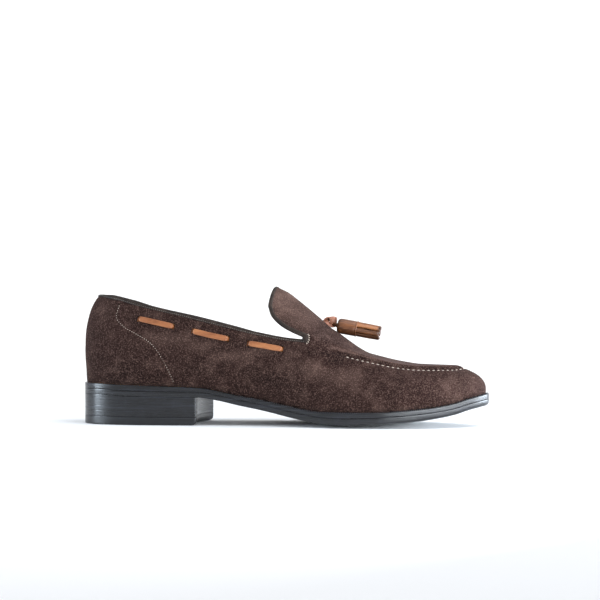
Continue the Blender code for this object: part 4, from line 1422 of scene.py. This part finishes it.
def fringe_strip(k, count, radius, wide, thick, shift):
    """One strip of the fringe: it follows the head, then hangs a little loose."""
    turn = 2 * math.pi * (k + shift) / count
    along = np.linspace(-0.0015, 1, 22)
    wave = math.sin(2.4 * k + shift)
    reach = radius / 1000 * (1 - 0.10 * along) + 0.00035 * wave * np.sin(2.2 * along) * (along > 0)
    bend = turn + 0.07 * wave * along**2
    length = FRINGE_LENGTH + 0.0006 * math.sin(1.7 * k + 1 + shift)
    x = HEAD_LENGTH - 0.0016 + (length + 0.0016) * along
    path = np.stack([x, reach * np.sin(bend), reach * np.cos(bend)], axis=-1)
    over = np.stack([np.zeros_like(bend), np.sin(bend), np.cos(bend)], axis=-1)
    ahead = unit(np.gradient(path, axis=0))
    across = unit(np.cross(over, ahead))
    section = rounded(wide / 1000, thick / 1000, 18, 4.5)
    curl = section[:, 0] ** 2 / (2 * radius / 1000)
    section = np.stack([section[:, 0], section[:, 1] - curl], axis=-1)
    made = strip("strip", path, across, over, section)
    at = coordinates(made)[:, 0]
    # Painted shade: the cut end is darker, and the strips of the inner round are dark.
    shaded_cut_end = np.clip((at - at.max() + 0.0011) / 0.0008, 0, 1)
    return tone_and_shade(made, (FRINGE_LIGHT_AND_SHADE[k] if count == FRINGE_STRIPS else 0.0) - 0.8 * shaded_cut_end)


def make_tassel_pattern():
    """The head, closed at its rear and ringed at its front, and two rounds of strips."""
    R = HEAD_RADIUS * 1000
    L = HEAD_LENGTH * 1000
    profile = [(0.9, 0.6), (0.5, 1.3), (0.25, 2.2), (0.3, 3.2), (0.55, 4.1)]
    profile += [(1.0, R * 0.90), (1.7, R * 0.96), (2.4, R * 0.98)]
    profile += [(x, R * (0.985 + 0.015 * math.sin(x / L * 3.1))) for x in np.linspace(3.2, L - 1.4, 9)]
    profile += [(L - 1.15, R * 0.97), (L - 0.95, R * 1.03), (L - 0.25, R * 1.03), (L, R * 0.98)]
    profile += [(L, R * 0.80), (L - 1.0, R * 0.70), (L - 1.5, 1.0)]
    head = turned("head", profile, 44, 0.22)
    outer = [fringe_strip(k, FRINGE_STRIPS, R * 0.86, 3.15, 1.25, 0.32) for k in range(FRINGE_STRIPS)]
    inner = [fringe_strip(k, 5, R * 0.50, 3.2, 1.2, 0.1) for k in range(5)]
    at = coordinates(head) * 1000
    # Painted shade: the head is darker underneath and towards its rear end.
    under = np.clip(0.4 - 1.4 * at[:, 2] / R, 0, 1)
    rear, rear_half = np.exp(-((at[:, 0] / 3) ** 2)), np.exp(-((at[:, 0] / 6) ** 2))
    shade = 0.5 - 0.6 * rear - under * (0.5 + 0.4 * rear_half)
    return join("tassel_pattern", [tone_and_shade(head, shade)] + outer + inner)


def tassel_at(name, node, side):
    """The pattern copied to a tassel's solid, whose axis is read from its own points."""
    solid = coordinates(frame["nodes"][node])
    reach = solid[:, 0].max() - solid[:, 0].min()
    ends = []
    share = (solid[:, 0] - solid[:, 0].min()) / reach
    for low, high in ((0.45, 0.60), (0.88, 1.0)):
        part = solid[(share > low) & (share < high)]
        ends.append((part.min(axis=0) + part.max(axis=0)) / 2)
    ends[0][2] -= 0.0006
    ahead = Vector(ends[1] - ends[0]).normalized()
    tip = Vector(ends[1])
    tip += ahead * ((solid[:, 0].max() - tip.x - 0.0009) / ahead.x)
    rear = tip - ahead * (HEAD_LENGTH + FRINGE_LENGTH + 0.0006)
    across = ahead.cross(UP).normalized()
    turn = Matrix((ahead, -across, across.cross(ahead))).transposed().to_4x4()
    roll = Matrix.Rotation(math.radians(12 if side == MEDIAL else 47), 4, "X")
    made = copy_of(pattern, name)
    made.data.transform(Matrix.Translation(rear) @ turn @ roll)
    root = np.array(KNOT) + np.array([2.2, 0.6 * side, -2.3]) / 1000
    middle = np.array(rear) * 0.55 + root * 0.45 + [0, 0, 0.0002]
    path = curve_through([root, middle, np.array(rear), np.array(rear + ahead * 0.002)], 24)
    way = unit(np.gradient(path, axis=0))
    over = unit(np.cross(way, np.broadcast_to([0.0, 1.0, 0.15], way.shape)))
    section = rounded(0.0026, 0.0028, 12, 2.6)
    thong = tone_and_shade(strip("thong", path, unit(np.cross(over, way)), over, section), 0.3)
    print(name, "rear of the head at", [round(v * 1000, 1) for v in rear])
    return join(name, [made, thong])


pattern = make_tassel_pattern()
tassels = {
    "tassel_medial": tassel_at("inner_tassel", "tassel_medial", MEDIAL),
    "tassel_lateral": tassel_at("outer_tassel", "tassel_lateral", LATERAL),
}
bpy.data.objects.remove(pattern, do_unlink=True)
for tassel in tassels.values():
    report(tassel)

# %% [markdown]
# ## Stitches
#
# A stitch is a short fat grain of thread. One is modelled from a small sphere, and a copy
# is laid at every place along a seam, turned to the seam and sunk a little in the leather
# that a ray finds under it.

# %% Stitch pattern and seams
deselect()
bpy.ops.mesh.primitive_uv_sphere_add(segments=6, ring_count=4, radius=0.5)
GRAIN = bpy.context.object
grain_points = coordinates(GRAIN)
grain_faces = [tuple(face.vertices) for face in GRAIN.data.polygons]
bpy.data.objects.remove(GRAIN, do_unlink=True)


def stitches(name, places, size):
    """Copies of the grain at (point, way along, way out), size being length, width and height."""
    points, faces = [], []
    for at, along, out in places:
        out = unit(np.asarray(out, float))
        along = unit(np.asarray(along, float) - out * np.dot(along, out))
        turn = np.stack([along, np.cross(out, along), out])
        base = len(points) * len(grain_points)
        points.append(grain_points * size @ turn + at)
        faces += [tuple(i + base for i in face) for face in grain_faces]
    mesh = bpy.data.meshes.new(name)
    mesh.from_pydata(np.concatenate(points).tolist(), [], faces)
    mesh.shade_smooth()
    piece = bpy.data.objects.new(name, mesh)
    bpy.context.scene.collection.objects.link(piece)
    report(piece)
    return piece


def tree_of(piece):
    mesh = piece.data
    points = coordinates(piece)
    return BVHTree.FromPolygons(points.tolist(), [tuple(face.vertices) for face in mesh.polygons])


SKIN = tree_of(suede_upper)


def laid(points, from_side, sink=0.0001):
    """Each point moved along a ray to the suede, with the way along and the suede's own way out."""
    places = []
    along = np.gradient(np.asarray(points), axis=0)
    for at, way, side in zip(points, along, from_side):
        hit = SKIN.ray_cast(Vector(at) + Vector(side) * 0.05, -Vector(side))
        if hit[0] is None or (hit[0] - Vector(at)).length > 0.012:
            hit = SKIN.find_nearest(Vector(at))
        out = np.array(hit[1])
        out = out if np.dot(out, side) > 0 else -out
        places.append((np.array(hit[0]) - out * sink, way, out))
    return places


def evenly(path, pitch):
    """Rows of a table read at an even pitch along its first three columns."""
    far = distances(path[:, :3])
    where = np.arange(pitch / 2, far[-1], pitch)
    return by_column(lambda k: np.interp(where, far, path[:, k]), path.shape[1])


# %% Apron, counter and edge seams
FIRST_STITCH_FROM_BACK = 0.197
APRON_PITCH = 0.0037
COUNTER_PITCH = 0.0018
EDGE_PITCH = 0.0016
RIB_PITCH = 0.0014


def apron_seam():
    """Points in the groove, from the first stitch on the inner side round the toe."""
    parts = []
    for side in (MEDIAL, LATERAL):
        u = np.linspace(THROAT_U, 1, 260)
        top = wall_top(side, u)
        line = wall_lines(side, u, FINE)
        lengths = lengths_along(line)
        groove = at_lengths(line, lengths, lengths[:, -1:] - 0.0004)[:, 0]
        keep = top[:, 0] + ORIGIN_FROM_BACK > FIRST_STITCH_FROM_BACK
        sides = np.concatenate([outward(side, u) * 0.75, np.full((len(u), 1), 0.66)], axis=1)
        parts.append((groove[keep], sides[keep]))
    path = np.concatenate([parts[0][0], parts[1][0][::-1]])
    sides = np.concatenate([parts[0][1], parts[1][1][::-1]])
    both = evenly(np.concatenate([path, sides], axis=1), APRON_PITCH)
    return both[:, :3], unit(both[:, 3:])


points, sides = apron_seam()
apron_stitches = stitches("apron_stitches", laid(points, sides, 0.00005), (0.0020, 0.0008, 0.0008))

counter = []
for side in (MEDIAL, LATERAL):
    line, length = way_along(COUNTER_SEAM, 70)
    near = np.full(len(line), side * 0.03)
    path = np.stack([line[:, 0] - ORIGIN_FROM_BACK, near, line[:, 1]], axis=-1)
    if side == LATERAL:
        path[:, 2] -= 0.003 * np.clip((line[:, 1] - 0.03) / 0.06, 0, 1)
    path = evenly(path, COUNTER_PITCH)[1:-1]
    counter += laid(path, np.broadcast_to([0, side, 0.0], path.shape))
counter_stitches = stitches("counter_stitches", counter, (0.0010, 0.0005, 0.0005))

# The collar is stitched through its binding, the tongue through the suede beside it.
path, normal = EDGES["collar"]
middle, _, over = edge_frame(path, normal)
seam = middle + normal * 0.00155 + over * 0.0002
both = evenly(np.concatenate([seam, normal], axis=1), EDGE_PITCH)[1:-1]
places = list(zip(both[:, :3], unit(np.gradient(both[:, :3], axis=0)), unit(both[:, 3:])))
collar_stitches = stitches("collar_stitches", places, (0.0010, 0.0005, 0.0003))
path, normal = EDGES["tongue"]
_, _, over = edge_frame(path, normal)
both = evenly(np.concatenate([path - over * 0.0012, normal], axis=1), EDGE_PITCH)[1:-1]
places = laid(both[:, :3], unit(both[:, 3:]))
tongue_stitches = stitches("tongue_stitches", places, (0.0010, 0.0005, 0.0004))

# %% [markdown]
# ## Throat tack
#
# Where collar and tongue meet, the seam takes the strain of a foot going in, so the
# bindings end under a small tab held by an arc of stitches. A box would need every corner
# rounded to look sewn down. A ball pressed flat, with its sides pushed square, has the
# shape at once.

# %% Throat tack
def throat_tack(side):
    """A rounded tab of binding over both ends, with a small arc of stitches before it."""
    low = EDGES["collar"][0][0 if side == MEDIAL else -1]
    high = EDGES["tongue"][0][-1 if side == MEDIAL else 0]
    centre = (low + high) / 2
    normal = EDGES["collar"][1][0 if side == MEDIAL else -1]
    up = unit(high - low)
    ahead = unit(np.cross(up, normal)) * -side
    ahead = ahead if ahead[0] > 0 else -ahead
    turn = Matrix((ahead, up, unit(np.cross(ahead, up)))).transposed().to_4x4()
    deselect()
    bpy.ops.mesh.primitive_uv_sphere_add(segments=32, ring_count=16, radius=1)
    tab = bpy.context.object
    points = coordinates(tab)
    round_share = 1 - 0.25 * np.clip(-points[:, :1], 0, 1)
    points[:, 1:2] *= round_share
    points = np.sign(points) * np.abs(points) ** [1, 1, 0.7] * [0.0024, 0.0035, 0.0017]
    place_points(tab, points)
    tab.data.transform(Matrix.Translation(Vector(centre - ahead * 0.0013 - normal * 0.0006)) @ turn)
    tab.data.shade_smooth()
    tab.name = "throat_tack_" + SIDE_NAME[side]
    places = []
    for angle in np.radians([-62, -36, -12, 12, 36, 62]):
        at = centre + ahead * (0.0024 * math.cos(angle) - 0.0010) + up * 0.0036 * math.sin(angle)
        places.append((at, ahead * math.cos(angle) * 0.7 + up * math.sin(angle), normal))
    return tab, places


tacks, arc = [], []
for side in (MEDIAL, LATERAL):
    tab, places = throat_tack(side)
    report(tab)
    tacks.append(tab)
    at, along, out = zip(*places)
    arc += [(place[0], way, place[2]) for place, way in zip(laid(at, out, 0), along)]
tack_stitches = stitches("tack_stitches", arc, (0.0015, 0.0007, 0.0006))

# %% [markdown]
# ## Ribs of the welt
#
# The top of a welt is pressed with a toothed wheel, which leaves short ribs across its
# margin. A bump in the material would do from above. From the side only their outline
# shows, so the grain of thread is laid across the margin as well.

# %% Welt ribs
ribs = []
along = along_of(SOLE_U)
for side in (MEDIAL, LATERAL):
    keep = SOLE_U > float(station_of(0.40))
    line = rise_to(inset_line(side, SOLE_U, feather_inset(SOLE_U) * 0.5), welt_top(along))
    both = evenly(np.concatenate([line, plan_out(side, SOLE_U)], axis=1)[keep], RIB_PITCH)
    ribs += [(row[:3], row[3:], (0, 0, 1)) for row in both]
welt_ribs = stitches("welt_ribs", ribs, (0.0021, 0.0009, 0.0012))

# %% [markdown]
# ## Inside
#
# The insole keeps the shape of its solid. A half sock, a thin pad of lining leather with a
# round front edge, covers it under the heel. Its level could be guessed from the welt. Rays
# cast down on the insole find it at each point, so the pad lies on it all over.

# %% Heel pad
PAD_THICKNESS = 0.0009
PAD_TOP = 0.0011
u = np.linspace(station_of(0.028), station_of(0.37), 40)
share = np.linspace(0, 1, 25)
inner = feather_inset(u) + WALL + 0.0026
medial, lateral = (inset_line(side, u, inner) for side in (MEDIAL, LATERAL))
grid = medial[:, None] * (1 - share[None, :, None]) + lateral[:, None] * share[None, :, None]
front = np.clip((along_of(u) - 0.20) / 0.17, 0, 1)[:, None] ** 2
grid[..., 0] -= 0.014 * front * (2 * share[None] - 1) ** 2
footbed = tree_of(frame["nodes"]["insole"])
level = np.zeros(grid.shape[:2])
for place in np.ndindex(level.shape):
    over = Vector((*(grid[place] - [ORIGIN_FROM_BACK, 0]), 0.06))
    level[place] = footbed.ray_cast(over, Vector((0, 0, -1)))[0].z + PAD_TOP
level = level - 0.0010 * np.clip(1 - np.minimum(share, 1 - share)[None] / 0.03, 0, 1)
points = np.concatenate([grid - [ORIGIN_FROM_BACK, 0], level[..., None]], axis=-1)
heel_pad = tidy(grid_piece("heel_pad", points), close=False)
heel_pad = thicken(heel_pad, PAD_THICKNESS)
report(heel_pad)

# %% [markdown]
# ## Finishes
#
# Every finish is procedural. A photograph could be wrapped round the shoe, but it would
# carry its own light and stretch at the toe. Noise reads Object coordinates in metres, so a
# pattern's scale is one over its size, whatever the shape.

# %% Noise, ramp and bump
def grain_noise(tree, size_mm, detail, rough, stretch=(1, 1, 1)):
    """Noise whose lumps are about size_mm across, drawn out along the axes by stretch."""
    place = add(tree, "TexCoord").outputs["Object"]
    mapped = add(tree, "Mapping", {"Vector": place, "Scale": [1 / s for s in stretch]}).outputs[0]
    links = {"Vector": mapped, "Scale": 1000 / size_mm, "Detail": detail, "Roughness": rough}
    return add(tree, "TexNoise", links).outputs["Fac"]


def ramp(tree, value, *stops):
    """Stops of place and colour; a colour is a hex code or a grey number."""
    node = add(tree, "ValToRGB", {"Fac": value})
    elements = node.color_ramp.elements
    while len(elements) < len(stops):
        elements.new(0.5)
    for element, (place, colour) in zip(elements, stops):
        element.position = place
        element.color = linear(colour) if isinstance(colour, str) else (colour, colour, colour, 1)
    return node.outputs["Color"]


def mix(tree, share, a, b):
    node = add(tree, "Mix", data_type="RGBA")
    for socket, value in (("Factor_Float", share), ("A_Color", a), ("B_Color", b)):
        target = next(s for s in node.inputs if s.identifier == socket)
        if isinstance(value, bpy.types.NodeSocket):
            tree.links.new(value, target)
        else:
            target.default_value = linear(value) if isinstance(value, str) else value
    return next(s for s in node.outputs if s.identifier == "Result_Color")


def raise_surface(tree, shader, *layers):
    """Bump layers of height output and depth in millimetres, one on the other."""
    normal = None
    for height, depth_mm in layers:
        links = {"Height": height, "Distance": depth_mm / 1000, "Strength": 1.0}
        if normal is not None:
            links["Normal"] = normal
        normal = add(tree, "Bump", links).outputs["Normal"]
    tree.links.new(normal, shader.inputs["Normal"])


def set_shader(shader, **values):
    for name, value in values.items():
        shader.inputs[name.replace("_", " ")].default_value = value


def dress(piece, material):
    piece.data.materials.clear()
    piece.data.materials.append(material)
    for face in piece.data.polygons:
        face.material_index = 0


# %% [markdown]
# Suede is the flesh side of a hide, buffed to a nap. Fingers push the nap about, so it is
# mottled in soft patches about 10 mm wide, with a fine grain over them, and its fibres
# catch light at the rims. Noise alone gives patches anywhere. Strokes placed one by one are
# kept as a value on the points of the skin. Some are the mottling that fingers left. Others
# are painted light and shade: lighter towards the tongue and the toe, a painted highlight on
# the ridge's crest and painted shade on its side.

# %% Strokes in the nap, with painted light and shade
# Place from the back and height, half sizes, and how light the stroke is. Some strokes are mottling,
# and some are painted light and shade.
STROKES_LIGHT_AND_SHADE = table(
    "side x z long tall tone",
    (MEDIAL, 39, 36, 30, 11, -0.34),
    (MEDIAL, 54, 43, 7, 5, 0.34),
    (MEDIAL, 69, 63, 18, 5, 0.26),
    (MEDIAL, 20, 82, 9, 9, 0.12),
    (MEDIAL, 90, 40, 12, 8, -0.26),
    (MEDIAL, 92, 57, 11, 5, 0.22),
    (MEDIAL, 116, 50, 14, 4, 0.32),
    (MEDIAL, 138, 55, 12, 3.5, 0.28),
    (MEDIAL, 134, 42, 10, 5, -0.2),
    (MEDIAL, 134, 25, 14, 5, -0.15),
    (MEDIAL, 150, 34, 20, 5, -0.26),
    (MEDIAL, 166, 25, 9, 6, -0.2),
    (MEDIAL, 176, 41, 13, 8, 0.3),
    (MEDIAL, 192, 47, 8, 4, -0.35),
    (MEDIAL, 201, 36, 12, 6, 0.32),
    (MEDIAL, 232, 30, 18, 8, -0.12),
    (MEDIAL, 276, 27, 15, 9, 0.16),
    # Painted light on the tongue.
    (MEDIAL, 150, 92, 12, 12, 0.5),
    (MEDIAL, 166, 77, 12, 8, 0.34),
    (MEDIAL, 180, 65, 6, 6, -0.2),
    # Painted highlight along the ridge's crest, then painted shade on its side below.
    (MEDIAL, 189, 56.3, 5, 1.3, 0.4),
    (MEDIAL, 196, 54.6, 5, 1.3, 0.4),
    (MEDIAL, 204, 52.8, 5, 1.2, 0.35),
    (MEDIAL, 178, 53.5, 8, 3, -0.25),
    (MEDIAL, 189, 52, 6, 2, -0.4),
    (MEDIAL, 196, 50.8, 5, 1.6, -0.35),
    (LATERAL, 42, 40, 26, 12, -0.3),
    (LATERAL, 66, 58, 14, 6, 0.28),
    (LATERAL, 100, 44, 14, 8, -0.24),
    (LATERAL, 124, 52, 16, 5, 0.28),
    (LATERAL, 152, 36, 18, 7, -0.24),
    (LATERAL, 180, 42, 14, 8, 0.26),
    (LATERAL, 214, 34, 16, 7, -0.18),
    (LATERAL, 262, 28, 20, 9, 0.26),
)
at = shoe_mm(coordinates(suede_upper))
nap = np.full(len(at), 0.5)
for side, x, z, long, tall, tone in zip(*STROKES_LIGHT_AND_SHADE.values()):
    nap += tone * spot(at[:, 0] - x, at[:, 2] - z, long, tall) * (at[:, 1] * side > 0)
# Painted shade darkens it at the foot above the welt, round the slits and on the side of the ridge,
# and a painted highlight lightens the crest.
foot = welt_top(at[:, 0] / 1000 / SOLE_LENGTH) * 1000
nap -= 0.55 * np.exp(-(((at[:, 2] - foot) / 1.8) ** 2))
# Painted shadow round each slit.
for place in shoe_mm(slit_places):
    nap -= 0.35 * np.exp(-(np.linalg.norm(at - place, axis=1) / 3.2) ** 2)
# Painted highlight on the ridge's crest and painted shade on its side.
for side in (MEDIAL, LATERAL):
    top = shoe_mm(wall_top(side, np.linspace(THROAT_U, 1, 200)))
    y, z = (np.interp(at[:, 0], top[:, 0], top[:, k]) for k in (1, 2))
    near = (at[:, 1] * side > 0) * np.exp(-(((at[:, 1] - y) / 5) ** 4))
    near = near * np.clip((at[:, 0] - 186) / 14, 0, 1)
    above = at[:, 2] - z
    crest, flank_shade = np.exp(-(((above - 2.7) / 0.6) ** 2)), np.exp(-(((above - 0.9) / 1.0) ** 2))
    nap += near * (0.3 * crest - 0.42 * flank_shade)
# The value holds the strokes together with the painted light and shade.
keep_values(suede_upper, "nap", np.clip(nap, 0, 1))
print("nap from", nap.min().round(2), "to", nap.max().round(2))


# %% [markdown]
# The finish mixes three scales: the placed strokes with their painted light and shade, soft
# patches of noise, and the grain of the nap. Real fibres are finer than a render shows, so
# the grain is drawn at 0.85 mm. The surface is matt, with a little sheen of a pale brown.

# %% Suede
def make_suede(name, dark, middle, light, sheen):
    made, tree, shader = new_material(name)
    # The nap value brings in the strokes and the painted light and shade.
    strokes_and_shade = add(tree, "Attribute", attribute_name="nap").outputs["Fac"]
    patch = grain_noise(tree, 10, 3, 0.55)
    nap = grain_noise(tree, 0.85, 2, 0.75)
    base = ramp(tree, strokes_and_shade, (0.12, dark), (0.52, middle), (0.96, light))
    base = mix(tree, 0.32, base, ramp(tree, patch, (0.36, dark), (0.52, middle), (0.68, light)))
    base = mix(tree, 0.5, base, ramp(tree, nap, (0.38, dark), (0.52, middle), (0.64, light)))
    tree.links.new(base, shader.inputs["Base Color"])
    set_shader(shader, Roughness=0.92, Specular_IOR_Level=0.06)
    set_shader(shader, Sheen_Weight=sheen, Sheen_Roughness=0.45, Sheen_Tint=linear("A88880"))
    raise_surface(tree, shader, (nap, 0.10), (grain_noise(tree, 0.35, 2, 0.6), 0.03))
    return made


suede = make_suede("brushed_suede", "100908", "281A17", "6A544C", 0.09)


# %% [markdown]
# Dyed calf leather is smooth and a little glossy, with fine pores and creases, drawn out
# along a strip by the way it is pulled. The binding is dyed nearly black and is dull, and the
# laces are waxed. The tassels' strips differ in tone, as painted light and shade: a tone kept
# on the points of the tassels and the knot leads there. The lining is tanned with bark and
# undyed, which leaves it tan.

# %% Dyed leathers
def make_leather(name, colours, rough, pore_mm, stretch=(1, 1, 1), depth=0.03, ior=1.48, tone_and_shade=False):
    """Leather from its dark, middle and light colour; depth is that of its pores in mm."""
    dark, middle, light = colours.split()
    made, tree, shader = new_material(name)
    tone = grain_noise(tree, 5, 3, 0.6, stretch)
    fibre = grain_noise(tree, pore_mm, 3, 0.6, stretch)
    base = ramp(tree, tone, (0.32, dark), (0.50, middle), (0.70, light))
    if tone_and_shade:
        own = add(tree, "Attribute", attribute_name="tone").outputs["Fac"]
        base = mix(tree, 0.88, base, ramp(tree, own, (0.1, dark), (0.5, middle), (0.9, light)))
    base = mix(tree, 0.35, base, ramp(tree, fibre, (0.32, dark), (0.52, middle), (0.70, light)))
    tree.links.new(base, shader.inputs["Base Color"])
    shine = ramp(tree, fibre, (0.30, rough - 0.08), (0.70, rough + 0.10))
    tree.links.new(shine, shader.inputs["Roughness"])
    set_shader(shader, IOR=ior)
    raise_surface(tree, shader, (fibre, depth))
    return made


binding_leather = make_leather("binding_calf_leather", "130D0A 251C17 3B302A", 0.60, 0.6, ior=1.29)
lace_leather = make_leather("waxed_lace_leather", "6C3B1D 8B5430 A66C42", 0.5, 0.45, (5, 1, 1), 0.04)
knot_leather = make_leather(
    "copper_thong_leather", "32180F 945A42 D0A28C", 0.36, 0.5, (2, 1, 1), 0.04, tone_and_shade=True
)
tassel_leather = make_leather(
    "tassel_calf_leather", "200F08 643A1E A86C40", 0.40, 0.5, (7, 1, 1), 0.05, tone_and_shade=True
)
lining_leather = make_leather("vegetable_tanned_lining", "9C6F42 B98A5A CDA274", 0.55, 0.6)


# %% [markdown]
# The edges of a leather sole are sanded, dyed dark and burnished with wax. The trimming
# leaves fine lines round the edge, so the noise is drawn out along it, and the wax gives
# a pale gleam. The top piece is moulded rubber that is trimmed with the stack, so it has
# the same lines and is a little duller.

# %% Burnished sole leather and heel rubber
def make_edge_leather(name, colours, rough, line_mm):
    dark, middle, light = colours.split()
    made, tree, shader = new_material(name)
    line = grain_noise(tree, line_mm, 3, 0.6, (60, 60, 1))
    cloud = grain_noise(tree, 4, 3, 0.6)
    base = ramp(tree, line, (0.30, dark), (0.50, middle), (0.72, light))
    base = mix(tree, 0.3, base, ramp(tree, cloud, (0.30, dark), (0.52, middle), (0.72, light)))
    tree.links.new(base, shader.inputs["Base Color"])
    shine = ramp(tree, line, (0.30, rough - 0.06), (0.70, rough + 0.10))
    tree.links.new(shine, shader.inputs["Roughness"])
    set_shader(shader, IOR=1.49)
    raise_surface(tree, shader, (line, 0.03))
    return made


sole_leather = make_edge_leather("burnished_sole_leather", "060608 0F0F12 24262E", 0.27, 0.8)
heel_rubber = make_edge_leather("moulded_heel_rubber", "060608 0E0E11 202228", 0.32, 0.9)


# %% [markdown]
# The seams are sewn with waxed linen thread, whose pale beads stand out on the suede. Its
# twist is drawn at 0.4 mm. The collar is sewn with a dull grey one that hardly shows.

# %% Threads
def make_thread():
    made, tree, shader = new_material("waxed_linen_thread")
    twist = grain_noise(tree, 0.4, 2, 0.5)
    tree.links.new(ramp(tree, twist, (0.3, "96877A"), (0.7, "CBBDAF")), shader.inputs["Base Color"])
    set_shader(shader, Roughness=0.6)
    return made


thread = make_thread()
dark_thread = make_leather("grey_waxed_thread", "3C3633 5C544E 7E746C", 0.6, 0.4)

# %% [markdown]
# ## Dressing the frame
#
# Each piece gets its finish, rides on the shoe's one body, and takes the place of the solid
# that it stands for. The insole's solid stays and only gets a finish.

# %% Finishes, places and slots
dress(suede_upper, suede)
dress(lining, lining_leather)
for piece in laces:
    dress(piece, lace_leather)
for piece in bindings.values():
    dress(piece, binding_leather)
dress(knot, knot_leather)
for piece in tassels.values():
    dress(piece, tassel_leather)
for piece in (outsole, welt, welt_ribs, heel_stack):
    dress(piece, sole_leather)
dress(top_piece, heel_rubber)
for piece in (apron_stitches, counter_stitches, tack_stitches):
    dress(piece, thread)
dress(collar_stitches, dark_thread)
for piece in (tongue_stitches, *tacks):
    dress(piece, binding_leather)
dress(heel_pad, lining_leather)
dress(frame["nodes"]["insole"], lining_leather)

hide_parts("upper")
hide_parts("side_lace_medial")
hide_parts("side_lace_lateral")
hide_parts("topline_binding")
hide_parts("tongue_binding")
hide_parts("tassel_knot")
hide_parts("tassel_medial")
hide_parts("tassel_lateral")
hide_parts("outsole")
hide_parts("welt")
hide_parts("heel_stack")
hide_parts("heel_top_piece")
SLOTS = {
    "suede": [suede_upper, counter_stitches],
    "lining": [lining, heel_pad, tack_stitches],
    "lace_leather": [*laces, knot],
    "binding": [*bindings.values(), *tacks, collar_stitches, tongue_stitches],
    "tassel_leather": list(tassels.values()),
    "sole_leather": [outsole, welt, heel_stack, apron_stitches, welt_ribs],
    "heel_rubber": [top_piece],
}
for slot, pieces in SLOTS.items():
    print(slot + ":", ", ".join(piece.name for piece in pieces))
    for piece in pieces:
        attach(piece, "root")

# %% Size and end
SCENE_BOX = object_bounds()
for name, box in (("solids", CAD_BOX), ("scene", SCENE_BOX)):
    print(name, [[round(float(v) * 1000, 1) for v in corner] for corner in box])
